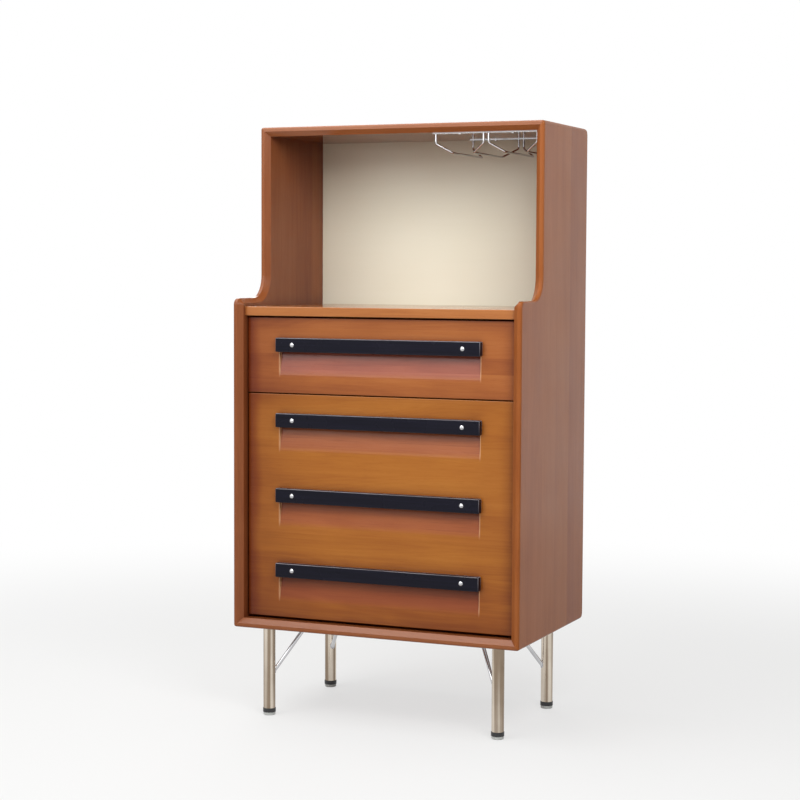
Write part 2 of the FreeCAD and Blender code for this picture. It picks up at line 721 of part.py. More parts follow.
def hinge_plate(height):
    low = (-INNER, PIVOT_Y + ARM_LENGTH - PLATE_LENGTH, height - PLATE_HEIGHT / 2)
    high = (-INNER + PLATE_THICKNESS, PIVOT_Y + ARM_LENGTH, height + PLATE_HEIGHT / 2)
    return box(low, high).cut(hinge_screw_bores(height))


def hinge_screw_seats(height):
    """Two screws through the plate's wings, and one through the arm."""
    place = PIVOT_Y + ARM_LENGTH - PLATE_LENGTH / 2
    plate_face = -INNER + PLATE_THICKNESS
    seats = [Vector(plate_face, place, height + side * PLATE_SCREW_SPACING / 2) for side in (-1, 1)]
    return seats + [Vector(plate_face + ARM_THICKNESS, place, height)]


def hinge_screw_bores(height):
    length = PLATE_THICKNESS + SCREW_LENGTH
    return [screw_bore(seat, X_AXIS * -1, length) for seat in hinge_screw_seats(height)]


def hinge_screws(height):
    length = PLATE_THICKNESS + SCREW_LENGTH
    return [wood_screw(seat, X_AXIS * -1, length) for seat in hinge_screw_seats(height)]


def cup_centre(height):
    return Vector(DOOR_LEFT + CUP_FROM_EDGE, FRONT_REAR, height)


def cup_bore(height):
    return cylinder(CUP_DIAMETER + 2 * BORE_PLAY, cup_centre(height), Y_AXIS * -1, CUP_DEPTH + BORE_PLAY)


def cup_screw_seats(height):
    rise = Vector(0, CUP_FLANGE_THICKNESS, CUP_SCREW_SPACING / 2)
    drop = Vector(0, CUP_FLANGE_THICKNESS, -CUP_SCREW_SPACING / 2)
    return [cup_centre(height) + rise, cup_centre(height) + drop]


def cup_screw_bores(height):
    return [screw_bore(seat, Y_AXIS * -1, SCREW_LENGTH) for seat in cup_screw_seats(height)]


def hinge_pin_length():
    """Length that ends the pin inside the cup's wall."""
    off_centre = abs(CUP_FROM_EDGE - HINGE_PIVOT_FROM_EDGE) + HINGE_PIN_DIAMETER / 2
    return 2 * math.sqrt((CUP_DIAMETER / 2) ** 2 - off_centre ** 2) - CUP_WALL / 2


def hinge_pin(height, play):
    length = hinge_pin_length() + 2 * play
    start = Vector(PIVOT_X, PIVOT_Y, height - length / 2)
    return cylinder(HINGE_PIN_DIAMETER + 2 * play, start, Z_AXIS, length)


def hinge_cup(height):
    centre = cup_centre(height)
    forward = Y_AXIS * -1
    shell = cylinder(CUP_DIAMETER, centre, forward, CUP_DEPTH)
    rim = cylinder(CUP_DIAMETER + 2 * CUP_RIM, centre, Y_AXIS, CUP_FLANGE_THICKNESS)
    mouth = centre + Y_AXIS * CUP_FLANGE_THICKNESS
    half_flange = Vector(CUP_FLANGE_WIDTH / 2, 0, CUP_FLANGE_HEIGHT / 2)
    flange = box(centre - half_flange, mouth + half_flange)
    hollow_depth = CUP_FLANGE_THICKNESS + CUP_DEPTH - CUP_WALL
    hollow = cylinder(CUP_DIAMETER - 2 * CUP_WALL, mouth, forward, hollow_depth)
    solid = shell.fuse([rim, flange]).removeSplitter()
    return solid.cut([hollow, hinge_pin(height, HINGE_PIN_PLAY)] + cup_screw_bores(height))


# Magnetic catch

def catch_nodes():
    catch_front = FRONT_REAR + STRIKE_THICKNESS + CATCH_GAP
    low = (INNER - CATCH_WIDTH, catch_front, CATCH_MIDDLE - CATCH_HEIGHT / 2)
    high = (INNER, catch_front + CATCH_LENGTH, CATCH_MIDDLE + CATCH_HEIGHT / 2)
    catch = box(low, high)
    catch = soften(catch, CATCH_ROUND, lambda point: near(point.x, INNER - CATCH_WIDTH))
    strike_right = DOOR_RIGHT - STRIKE_EDGE
    strike_low = (strike_right - STRIKE_WIDTH, FRONT_REAR, CATCH_MIDDLE - STRIKE_HEIGHT / 2)
    strike_high = (strike_right, FRONT_REAR + STRIKE_THICKNESS, CATCH_MIDDLE + STRIKE_HEIGHT / 2)
    return {"magnetic_catch": catch, "strike_plate": box(strike_low, strike_high)}


# Door with its hinges

def door_nodes():
    heights = HINGE_HEIGHTS.values()
    cuts = [cup_bore(height) for height in heights]
    cuts += [bore for height in heights for bore in cup_screw_bores(height)]
    bar_heights = BAR_CENTRES[1:]
    panel = front_board(DOOR_LEFT, DOOR_RIGHT, DOOR_BOTTOM, DOOR_TOP, bar_heights).cut(cuts)
    cup_screws = [
        wood_screw(seat, Y_AXIS * -1, SCREW_LENGTH) for height in heights for seat in cup_screw_seats(height)]
    nodes = {
        "door_panel": panel,
        "door_pull_screws": bar_screws(bar_heights),
        "hinge_pins": group([hinge_pin(height, 0) for height in heights]),
        "hinge_cup_screws": group(cup_screws),
        "hinge_plates": group([hinge_plate(height) for height in heights]),
        "hinge_plate_screws": group([screw for height in heights for screw in hinge_screws(height)]),
    }
    for name, height in zip(("upper", "middle", "lower"), bar_heights):
        nodes[name + "_door_bar_pull"] = bar_pull(height)
    for name, height in HINGE_HEIGHTS.items():
        nodes[name + "_hinge_cup"] = hinge_cup(height)
        nodes[name + "_hinge_arm"] = hinge_arm(height)
    return nodes


# Legs

def leg_tube(x, y):
    foot = Vector(x, y, LEG_BOTTOM)
    length = LEG_TOP - LEG_BOTTOM
    outside = cylinder(LEG_DIAMETER, foot, Z_AXIS, length)
    return outside.cut(cylinder(LEG_DIAMETER - 2 * LEG_WALL, foot, Z_AXIS, length))


def leg_brace(x, y, toward_x, toward_y):
    low = Vector(x, y, BRACE_LOW_HEIGHT)
    high = Vector(x + toward_x * BRACE_REACH, y + toward_y * BRACE_REACH, LEG_TOP)
    rise = high - low
    rod = cylinder(BRACE_DIAMETER, low, rise, rise.Length + BRACE_DIAMETER)
    tube = cylinder(LEG_DIAMETER, Vector(x, y, 0), Z_AXIS, LEG_TOP)
    reach = BRACE_REACH + LEG_DIAMETER
    below_plate = box((x - reach, y - reach, 0), (x + reach, y + reach, LEG_TOP))
    return rod.cut(tube).common(below_plate)


def leg_plate(x, y, toward_x, toward_y):
    """Flat plate round the tube's top and the brace's top."""
    leg = Vector(x, y, LEG_TOP)
    brace = leg + Vector(toward_x * BRACE_REACH, toward_y * BRACE_REACH, 0)
    along = (brace - leg).normalize()
    across = Vector(-along.y, along.x, 0)
    leg_round = LEG_DIAMETER / 2 + LEG_PLATE_MARGIN
    brace_round = BRACE_DIAMETER / 2 + LEG_PLATE_MARGIN
    lean = (leg_round - brace_round) / leg.distanceToPoint(brace)
    square = math.sqrt(1 - lean ** 2)
    one_side = along * lean + across * square
    other_side = along * lean - across * square
    web = prism([
        (leg + one_side * leg_round, 0),
        (brace + one_side * brace_round, 0),
        (brace + other_side * brace_round, 0),
        (leg + other_side * leg_round, 0),
    ], Z_AXIS * LEG_PLATE_THICKNESS)
    ends = [
        cylinder(2 * leg_round, leg, Z_AXIS, LEG_PLATE_THICKNESS),
        cylinder(2 * brace_round, brace, Z_AXIS, LEG_PLATE_THICKNESS),
    ]
    return web.fuse(ends).removeSplitter()


def leg_screw_seats(x, y, toward_x, toward_y):
    leg = Vector(x, y, LEG_TOP)
    along = Vector(toward_x, toward_y, 0).normalize()
    across = Vector(-along.y, along.x, 0)
    beside = LEG_DIAMETER / 2 + LEG_PLATE_MARGIN / 2
    return [leg + across * beside, leg - across * beside, leg + along * (BRACE_REACH * math.sqrt(2) / 2)]


def foot_ring(x, y):
    seat = Vector(x, y, FOOT_PAD_HEIGHT)
    ring = cylinder(LEG_DIAMETER + 2 * FOOT_RING_PROUD, seat, Z_AXIS, FOOT_RING_HEIGHT)
    plug_diameter = LEG_DIAMETER - 2 * LEG_WALL - 2 * FOOT_PLUG_PLAY
    return ring.fuse(cylinder(plug_diameter, seat, Z_AXIS, FOOT_RING_HEIGHT + FOOT_PLUG_LENGTH))


def foot_pad(x, y):
    pad = cylinder(LEG_DIAMETER, Vector(x, y, 0), Z_AXIS, FOOT_PAD_HEIGHT)
    return soften(pad, FOOT_PAD_ROUND, lambda point: near(point.z, 0))


def leg_nodes():
    screw_length = LEG_PLATE_THICKNESS + SCREW_LENGTH
    seats = [seat for place in LEGS.values() for seat in leg_screw_seats(*place)]
    bores = [screw_bore(seat, Z_AXIS, screw_length) for seat in seats]
    nodes = {name + "_leg": leg_tube(place[0], place[1]) for name, place in LEGS.items()}
    nodes["leg_braces"] = group([leg_brace(*place) for place in LEGS.values()])
    nodes["leg_plates"] = group([leg_plate(*place).cut(bores) for place in LEGS.values()])
    nodes["leg_screws"] = group([wood_screw(seat, Z_AXIS, screw_length) for seat in seats])
    nodes["foot_rings"] = group([foot_ring(place[0], place[1]) for place in LEGS.values()])
    nodes["foot_pads"] = group([foot_pad(place[0], place[1]) for place in LEGS.values()])
    return nodes, bores


# Glass rack

def rack_rail(centre, side):
    """Bent wire: down from the front strap, in to the rail, and up to the rear strap."""
    hanger = centre + side * RACK_CHANNEL_WIDTH / 2
    rail = centre + side * RACK_STEM_WIDTH / 2
    points = [
        Vector(hanger, RACK_FRONT, RACK_WIRE_TOP),
        Vector(hanger, RACK_FRONT, RACK_BEND_HEIGHT),
        Vector(rail, RACK_FRONT + RACK_SLOPE_RUN, RACK_RAIL_HEIGHT),
        Vector(rail, RACK_BACK - RACK_SLOPE_RUN, RACK_RAIL_HEIGHT),
        Vector(hanger, RACK_BACK, RACK_BEND_HEIGHT),
        Vector(hanger, RACK_BACK, RACK_WIRE_TOP),
    ]
    path = rounded_path([(point, RACK_BEND_RADIUS) for point in points], False)
    section = Part.Wire(Part.makeCircle(RACK_WIRE / 2, points[0], Z_AXIS))
    return path.makePipeShell([section], True, False)


def rack_straps():
    half_width = RACK_STRAP_WIDTH / 2
    overhang = RACK_WIRE / 2 + RACK_STRAP_OVERHANG
    left = RACK_CENTRES[0] - RACK_CHANNEL_WIDTH / 2 - overhang
    right = RACK_CENTRES[-1] + RACK_CHANNEL_WIDTH / 2 + overhang
    straps = []
    for place in (RACK_FRONT, RACK_BACK):
        straps.append(box((left, place - half_width, RACK_WIRE_TOP), (right, place + half_width, CEILING)))
    return straps


def rack_nodes():
    ends = (RACK_FRONT, RACK_BACK)
    seats = [Vector(centre, end, RACK_WIRE_TOP) for centre in RACK_CENTRES for end in ends]
    length = RACK_STRAP_THICKNESS + SCREW_LENGTH
    bores = [screw_bore(seat, Z_AXIS, length) for seat in seats]
    nodes = {
        "rack_straps": group([strap.cut(bores) for strap in rack_straps()]),
        "rack_screws": group([wood_screw(seat, Z_AXIS, length) for seat in seats]),
    }
    for name, centre in zip(("left", "right"), RACK_CENTRES):
        nodes[name + "_rack_rails"] = group([rack_rail(centre, side) for side in (-1, 1)])
    return nodes, bores


# Carcass boards, with the bores for all that is fixed to them

def carcass_nodes(leg_bores, rack_bores):
    ring = carcass_ring().cut(rear_rabbet())
    splines, slots = mitre_splines()
    counter_front = FRONT + COUNTER_SETBACK
    counter_middle = COUNTER_BOTTOM + COUNTER_THICKNESS / 2
    divider_middle = DRAWER_BOTTOM + DIVIDER_THICKNESS / 2
    counter_dowels, counter_bores = end_dowels(counter_front, BACK_FACE, counter_middle)
    divider_dowels, divider_bores = end_dowels(DIVIDER_FRONT, BACK_FACE, divider_middle)
    pins, pin_holes = shelf_pins()
    upper_back, lower_back, back_screws, back_bores = back_panels()
    slide_bores = [outer_slide_screw(place, BORE_PLAY) for place in slide_screw_places()]
    hinge_bores = [bore for height in HINGE_HEIGHTS.values() for bore in hinge_screw_bores(height)]
    side_bores = slots + counter_bores + divider_bores + pin_holes + back_bores
    low_left = [(-SIDE, LEG_HEIGHT, 0), (-INNER, FLOOR_TOP, 0)]
    low_right = [(INNER, FLOOR_TOP, 0), (SIDE, LEG_HEIGHT, 0)]
    high_left = [(-INNER, CEILING, 0), (-SIDE, HEIGHT, 0)]
    high_right = [(SIDE, HEIGHT, 0), (INNER, CEILING, 0)]
    side = ring.common(front_prism(low_left + high_left, FRONT, BACK))
    side = side.cut([side_chamfer_waste()] + side_bores + slide_bores)
    top = ring.common(front_prism(high_left + high_right, FRONT, BACK))
    top = top.cut([level_chamfer_waste(HUTCH_FRONT, CEILING, EDGE_CHAMFER)] + slots + rack_bores)
    bottom = ring.common(front_prism(low_left + low_right, FRONT, BACK))
    bottom = bottom.cut([level_chamfer_waste(FRONT, FLOOR_TOP, -EDGE_CHAMFER)] + slots + leg_bores)
    return {
        "left_side_panel": side.cut(hinge_bores),
        "right_side_panel": mirrored(side),
        "top_panel": top,
        "bottom_panel": bottom,
        "counter": fixed_board(counter_front, COUNTER_BOTTOM, COUNTER_TOP, counter_bores),
        "drawer_divider": fixed_board(DIVIDER_FRONT, DRAWER_BOTTOM, DIVIDER_TOP, divider_bores),
        "upper_back_panel": upper_back,
        "lower_back_panel": lower_back,
        "back_panel_screws": group(back_screws),
        "adjustable_shelf": adjustable_shelf(),
        "shelf_pins": group(pins),
        "mitre_splines": group(splines),
        "board_dowels": group(counter_dowels + divider_dowels),
    }


def all_nodes():
    legs, leg_bores = leg_nodes()
    rack, rack_bores = rack_nodes()
    nodes = carcass_nodes(leg_bores, rack_bores)
    for further in (legs, rack, slide_nodes(), drawer_nodes(), door_nodes(), catch_nodes()):
        nodes.update(further)
    return nodes


os.makedirs("parts", exist_ok=True)
for node_name, shape in all_nodes().items():
    shape.exportStep("parts/" + node_name + ".step")
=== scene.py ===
import math

import bmesh
import bpy
from mathutils import Matrix, Vector


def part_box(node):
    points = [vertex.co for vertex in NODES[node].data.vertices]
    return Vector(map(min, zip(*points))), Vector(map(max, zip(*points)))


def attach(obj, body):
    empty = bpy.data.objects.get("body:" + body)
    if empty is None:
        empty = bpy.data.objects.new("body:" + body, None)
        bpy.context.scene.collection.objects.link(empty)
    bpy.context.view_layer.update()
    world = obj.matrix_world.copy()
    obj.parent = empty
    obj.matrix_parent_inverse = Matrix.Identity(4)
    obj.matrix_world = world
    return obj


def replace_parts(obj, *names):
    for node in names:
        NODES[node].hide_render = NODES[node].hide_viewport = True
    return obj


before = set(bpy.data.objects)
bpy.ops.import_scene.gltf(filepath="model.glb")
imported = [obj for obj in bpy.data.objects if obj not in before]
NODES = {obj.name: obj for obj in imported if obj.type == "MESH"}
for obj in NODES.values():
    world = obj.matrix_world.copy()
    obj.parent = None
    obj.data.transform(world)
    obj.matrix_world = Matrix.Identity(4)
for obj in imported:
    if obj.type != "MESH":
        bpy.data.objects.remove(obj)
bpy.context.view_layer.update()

# Camera, at the photograph's viewing angle
CAMERA_PLACE = (1.4972, -3.5232, 0.8887)
CAMERA_YAW = 23.363
CAMERA_PITCH = 3.898
CAMERA_ROLL = 0.27
CAMERA_LENS = 86.54
SENSOR_WIDTH = 36.0

# Soft boxes: place, what each is aimed at, width, height and power
SOFT_BOXES = {
    "key": ((-0.80, -2.15, 2.05), (0.0, -0.165, 0.75), 2.2, 2.0, 38.0),
    "overhead": ((-0.85, -0.42, 2.6), (-0.85, -0.40, 0.0), 1.6, 1.8, 32.0),
    "fill": ((1.20, -1.35, 1.80), (0.3, -0.15, 1.15), 0.9, 0.9, 27.0),
    "rim": ((1.25, 2.8, 1.15), (0.3, 0.0, 0.8), 1.6, 2.4, 4.0),
    "back": ((-1.3, 2.4, 1.9), (0.0, 0.19, 0.7), 1.6, 1.6, 24.0),
}

# Surroundings, and a pale floor that is whitened near the object and white further off
AMBIENT = 0.40
WHITE = (1.0, 1.0, 1.0, 1.0)
FLOOR_COLOUR = (0.6, 0.6, 0.59, 1.0)
FLOOR_SIZE = 60.0
FLOOR_LEVEL = -0.0003
FLOOR_NEAR = 0.9
FLOOR_FAR = 2.6
FLOOR_WHITENING = 0.62

# Stains, paints and metals, in linear light
STAIN_DARK = (0.25, 0.066, 0.010)
STAIN_MIDDLE = (0.37, 0.124, 0.018)
STAIN_LIGHT = (0.45, 0.172, 0.030)
STAIN_HUE = (0.92, 0.82, 1.25)
STAIN_WORN = (0.50, 0.23, 0.075)
# toner along the fronts' rims and ends, partly a real finish and partly painted shade
STAIN_TONER_AND_SHADE = (0.55, 0.42, 0.40)
# painted shadow of the side panel's lip on the fronts' left ends
STAIN_LIP_SHADOW = (0.80, 0.60, 0.40)
# darker colour for painted shade in corners and recesses, and for the scoops' raised fibres
STAIN_SHADE_AND_FIBRES = (0.55, 0.40, 0.48)
# stain of the milled scoops, partly a painted pinkish sheen
STAIN_MILLED_AND_SHEEN = (0.90, 0.76, 1.75)
# painted highlight line at the ends of the scoops
STAIN_END_HIGHLIGHT = (0.62, 0.34, 0.18)
PALE_DARK = (0.42, 0.26, 0.125)
PALE_MIDDLE = (0.57, 0.39, 0.215)
PALE_LIGHT = (0.67, 0.49, 0.30)
PALE_WORN = (0.70, 0.55, 0.36)
CREAM = (0.80, 0.79, 0.66)
CREAM_SHADE = (0.75, 0.73, 0.575)
BLACK_DARK = (0.0035, 0.0034, 0.0075)
BLACK_LIGHT = (0.0065, 0.0060, 0.0135)
# painted highlight along the bars' upper edges
BLACK_HIGHLIGHT = (0.27, 0.25, 0.27)
# painted reflections: darker lengthwise streaks on the legs' tube
TUBE_PAINTED_REFLECTION = (0.32, 0.25, 0.19)

# Boards and blocks of the wood, in metres: glue lines, finger joints, and how uneven the pieces' widths are
GLUE_LINE = 0.0007
FINGER_PITCH = 0.008
FINGER_DEPTH = 0.009
BOARD_UNEVENNESS = 0.5
BLOCK_UNEVENNESS = 0.6
PALE_BOARD = 0.042
PALE_BLOCK = 0.27

# Grain of the wood: how far each piece's pattern is moved, and each noise's scale along and across the grain
STRIP_SHIFT = 13.0
PATTERN_SHIFT = 9.0
FIGURE_SCALE = (1.1, 15.0)
RING_TURNS = 95.0
FIBRE_SCALE = (6.0, 240.0)
PORE_SCALE = (60.0, 1500.0)
PORE_LIMITS = (0.60, 0.70)
BLOTCH_SCALE = 7.0

# Shares of board, figure, rings, fibres and blotches in the lightness, and where dark, middle and light lie
STAINED_SHARES = (0.12, 0.45, 0.05, 0.3, 0.25)
GLUED_UP_SHARES = (0.9, 0.45, 0.05, 0.3, 0.25)
PALE_SHARES = (0.34, 0.6, 0.1, 0.35, 0.2)
LIGHTNESS_STOPS = (0.2, 0.5, 0.8)

# Worn edges, and the painted highlight along the bars' upper edges, in metres: where the wear ends, where it
# starts and how ragged it is, and how strongly it shows
EDGE_WEAR_AND_HIGHLIGHT = 0.0022
WOOD_EDGE = (0.0008, 0.002)
STAINED_EDGE_SHARE = 0.22
PALE_EDGE_SHARE = 0.4
BLACK_HIGHLIGHT_EDGE = (0.0010, 0.001)
BLACK_HIGHLIGHT_SHARE = 0.85
BLACK_LOWER_HIGHLIGHT = 0.15

# Stain: how strongly hue, pores and glue lines show, and the painted shade in corners
HUE_SHARE = 0.30
STAINED_PORES = 0.25
STAINED_JOINTS = 0.15
CORNER_SHADE_REACH = 0.03
CORNER_SHADE_OPENNESS = (0.35, 0.95)
CORNER_SHADE_SAMPLES = 6
CORNER_SHADE_SHARE = 0.7

# Darker along the rim of the fronts, partly toner and partly painted shade, painted shade towards their ends,
# and a painted shadow of the side panel's lip in a band at their left ends
TONER_AND_SHADE_REACH = (0.012, 0.05)
TONER_AND_SHADE_RAGGED = 0.03
TONER_AND_SHADE_SHARE = 0.38
LEFT_SHADE_REACH = 0.16
LEFT_SHADE_SHARE = 0.62
RIGHT_SHADE_REACH = 0.12
RIGHT_SHADE_SHARE = 0.22
LIP_SHADOW_REACH = (0.025, 0.048)

# Finger scoops: how far they reach below and above the bars' lower edges and behind the face, half their
# width, their raised fibres, and the painted highlight line at each end
SCOOP_BELOW = (0.052, 0.034)
SCOOP_ABOVE = (0.006, 0.012)
SCOOP_BEHIND = (0.011, 0.014)
SCOOP_HALF_WIDTH = 0.2105
RAISED_FIBRES = (0.5, 0.72)
RAISED_SHARE = 0.5
SCOOP_END_HIGHLIGHT = (0.0005, 0.002)
END_HIGHLIGHT_SHARE = 0.7

# Lacquer on the stain: roughness, smudges, skin, and the boards polished where they look into the hutch, with
# two heights above the underside and the share of the roughness at each
NOISE_MIDDLE = (0.3, 0.7)
SATIN = (0.19, 0.26)
SMUDGE_SCALE = 11.0
SKIN_SCALE = 330.0
STAINED_BUMP = (0.12, 0.0004)
POLISHED_FACES = {"top_panel": (0.001, 0.015, 0.45, 1.0), "counter": (0.006, 0.017, 1.0, 0.5)}

# Upper face of the top, matt behind its rounded front edge
MATT_DEPTH = 0.004
MATT_SETBACK = (0.004, 0.012)
MATT_ROUGHNESS = 0.85

# Clear lacquer on the pale wood
PALE_PORES = 0.35
PALE_JOINTS = 0.45
PALE_ROUGHNESS = (0.42, 0.58)
PALE_SHEEN = 0.35
PALE_BUMP = (0.25, 0.0004)

# Cream lacquer, brushed on, and shaded along its rim
CREAM_CLOUD_SCALE = 5.0
CREAM_SKIN_SCALE = 420.0
CREAM_STROKE_SCALE = (6.0, 160.0)
CREAM_RIM = (0.004, 0.03)
CREAM_RIM_SHARE = 0.5
CREAM_ROUGHNESS = (0.3, 0.42)
CREAM_SHEEN = 0.35
CREAM_BUMP = (0.15, 0.0003)

# Black lacquer
BLACK_GRAIN_SCALE = (9.0, 380.0)
BLACK_CLOUD_SCALE = 14.0
BLACK_ROUGHNESS = (0.22, 0.32)
BLACK_SHEEN = 0.13
BLACK_BUMP = (0.14, 0.0003)

# Metals: how much finer the drawing lines are across than along, clouds, the painted reflection streaks and
# spread of the roughness
LINE_RATIO = 40.0
METAL_CLOUD_SCALE = 22.0
METAL_SHADING = (0.25, 0.8)
METAL_DULLING = (0.25, 0.75)
METAL_ROUGHNESS_SPREAD = (0.75, 1.35)
REFLECTION_STREAK_SCALE = (1.5, 95.0)
REFLECTION_STREAK_LIMITS = (0.40, 0.62)
METAL_BUMP = (0.08, 0.0002)

# Moulded plastic
PLASTIC_CLOUD_SCALE = 45.0
PLASTIC_TEXTURE_SCALE = 2200.0
PLASTIC_ROUGHNESS_SPREAD = (0.85, 1.15)
PLASTIC_BUMP = (0.2, 0.0002)


class Graph:
    """Short calls for building a material's nodes."""

    def __init__(self, name):
        self.material = bpy.data.materials.new(name)
        self.material.use_nodes = True
        self.tree = self.material.node_tree
        self.tree.nodes.clear()
        self.output = self.add("ShaderNodeOutputMaterial")
        self.place = self.add("ShaderNodeTexCoord").outputs["Object"]
        parts = self.add("ShaderNodeSeparateXYZ", {"Vector": self.place}).outputs
        self.axis = {"x": parts["X"], "y": parts["Y"], "z": parts["Z"]}

    def add(self, kind, inputs=None, **settings):
        node = self.tree.nodes.new(kind)
        for name, value in settings.items():
            setattr(node, name, value)
        for name, value in (inputs or {}).items():
            self.feed(node.inputs[name], value)
        return node

    def feed(self, socket, value):
        if isinstance(value, bpy.types.NodeSocket):
            self.tree.links.new(value, socket)
        else:
            socket.default_value = value

    def math(self, operation, *values):
        return self.add("ShaderNodeMath", dict(enumerate(values)), operation=operation).outputs["Value"]

    def vector(self, operation, first, second):
        return self.add("ShaderNodeVectorMath", {0: first, 1: second}, operation=operation).outputs["Vector"]

    def total(self, start, *terms):
        """Start plus each term's weight times its distance from a half."""
        value = start - sum(weight for socket, weight in terms) / 2
        for socket, weight in terms:
            value = self.math("MULTIPLY_ADD", socket, weight, value)
        return value

    def noise(self, vector, scale, detail, roughness=0.5, distortion=0.0):
        inputs = {
            "Vector": vector,
            "Scale": scale,
            "Detail": detail,
            "Roughness": roughness,
            "Distortion": distortion,
        }
        return self.add("ShaderNodeTexNoise", inputs).outputs["Fac"]

    def drawn_noise(self, vector, axis, scales, **settings):
        """Noise with one scale along an axis and another across it."""
        along, across = scales
        scale = tuple(along if letter == axis else across for letter in "xyz")
        return self.noise(self.vector("MULTIPLY", vector, scale), 1.0, **settings)

    def cells(self, lane, feature, unevenness):
        inputs = {"W": lane, "Scale": 1.0, "Randomness": unevenness}
        return self.add("ShaderNodeTexVoronoi", inputs, voronoi_dimensions="1D", feature=feature).outputs

    def glued_pieces(self, lane, size, unevenness):
        """Three random numbers for each piece along a lane, and the glue lines between the pieces."""
        colour = self.cells(lane, "F1", unevenness)["Color"]
        own = self.add("ShaderNodeSeparateColor", {"Color": colour}).outputs
        distance = self.cells(lane, "DISTANCE_TO_EDGE", unevenness)["Distance"]
        return own, self.span(distance, 0.0, GLUE_LINE / size, 1.0, 0.0)

    def ramp(self, fac, stops):
        node = self.add("ShaderNodeValToRGB", {"Fac": fac})
        elements = node.color_ramp.elements
        while len(elements) < len(stops):
            elements.new(0.5)
        for element, (position, colour) in zip(elements, stops):
            element.position = position
            element.color = (*colour, 1.0)
        return node.outputs["Color"]

    def mix(self, fac, first, second, blend="MIX"):
        node = self.add("ShaderNodeMix", data_type="RGBA", blend_type=blend)
        for index, value in ((0, fac), (6, first), (7, second)):
            self.feed(node.inputs[index], (*value, 1.0) if isinstance(value, tuple) else value)
        return node.outputs[2]

    def dimmed(self, pattern, share, first, second, blend="MIX"):
        """Mix by a pattern that counts only for a share."""
        return self.mix(self.math("MULTIPLY", pattern, share), first, second, blend)

    def span(self, value, low, high, to_low, to_high):
        inputs = {"Value": value, "From Min": low, "From Max": high, "To Min": to_low, "To Max": to_high}
        return self.add("ShaderNodeMapRange", inputs, interpolation_type="SMOOTHSTEP").outputs["Result"]

    def bump(self, height, strength, distance):
        inputs = {"Height": height, "Strength": strength, "Distance": distance}
        return self.add("ShaderNodeBump", inputs).outputs["Normal"]

    def corner_shade(self):
        """One deep in a corner and nought on an open face, as the mask of painted shade in corners."""
        node = self.add("ShaderNodeAmbientOcclusion", {"Distance": CORNER_SHADE_REACH}, samples=CORNER_SHADE_SAMPLES)
        return self.span(node.outputs["AO"], *CORNER_SHADE_OPENNESS, 1.0, 0.0)

    def edge_distance(self, low, high):
        """Distance from the nearest edge of a box, whichever of its twelve that is."""
        depths = []
        for index, letter in enumerate("xyz"):
            from_low = self.math("SUBTRACT", self.axis[letter], low[index])
            from_high = self.math("SUBTRACT", high[index], self.axis[letter])
            depths.append(self.math("MINIMUM", from_low, from_high))
        lower = self.math("MINIMUM", depths[0], depths[1])
        upper = self.math("MAXIMUM", depths[0], depths[1])
        return self.math("MAXIMUM", lower, self.math("MINIMUM", upper, depths[2]))

    def edge_wear_and_highlight(self, node, pattern, start, ragged, share):
        """Wear along the edges of a node's box, made ragged by a pattern; on the bars it is a painted
        highlight.
        """
        edge = self.math("MULTIPLY_ADD", pattern, ragged, self.edge_distance(*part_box(node)))
        return self.span(edge, start, EDGE_WEAR_AND_HIGHLIGHT, share, 0.0)

    def surface(self, shader):
        self.tree.links.new(shader.outputs[0], self.output.inputs["Surface"])
        return self.material

    def principled(self, inputs):
        return self.surface(self.add("ShaderNodeBsdfPrincipled", inputs))


class Wood:
    """Glued boards with their own tone, growth rings, fibres and pores, as sockets of a graph."""

    def __init__(self, graph, along, across, board, seed, block=None):
        self.graph = graph
        lane = graph.math("MULTIPLY_ADD", graph.axis[across], 1.0 / board, seed)
        own, self.joint = graph.glued_pieces(lane, board, BOARD_UNEVENNESS)
        if block:
            teeth = graph.math("MULTIPLY", graph.axis[across], 1.0 / FINGER_PITCH)
            zigzag = graph.math("MULTIPLY", graph.math("PINGPONG", teeth, 1.0), FINGER_DEPTH / block)
            length = graph.math("MULTIPLY_ADD", graph.axis[along], 1.0 / block, zigzag)
            length = graph.math("MULTIPLY_ADD", own["Green"], STRIP_SHIFT, length)
            own, end_joint = graph.glued_pieces(length, block, BLOCK_UNEVENNESS)
            self.joint = graph.math("MAXIMUM", self.joint, end_joint)
        self.tone = own["Red"]
        self.hue = own["Green"]
        shift = graph.math("MULTIPLY", own["Blue"], PATTERN_SHIFT)
        slide = graph.add("ShaderNodeCombineXYZ", {along.upper(): shift}).outputs["Vector"]
        placed = graph.vector("ADD", graph.place, slide)
        self.figure = graph.drawn_noise(placed, along, FIGURE_SCALE, detail=2.0, distortion=0.6)
        rings = graph.math("SINE", graph.math("MULTIPLY", self.figure, RING_TURNS))
        self.rings = graph.math("MULTIPLY_ADD", rings, 0.5, 0.5)
        self.fibres = graph.drawn_noise(placed, along, FIBRE_SCALE, detail=4.0, roughness=0.6)
        dashes = graph.drawn_noise(placed, along, PORE_SCALE, detail=1.0, roughness=0.4)
        self.pores = graph.span(dashes, *PORE_LIMITS, 0.0, 1.0)
        self.blotch = graph.noise(graph.place, BLOTCH_SCALE, detail=2.0)

    def colour(self, shares, dark_to_light):
        patterns = (self.tone, self.figure, self.rings, self.fibres, self.blotch)
        lightness = self.graph.total(0.5, *zip(patterns, shares))
        return self.graph.ramp(lightness, list(zip(LIGHTNESS_STOPS, dark_to_light)))


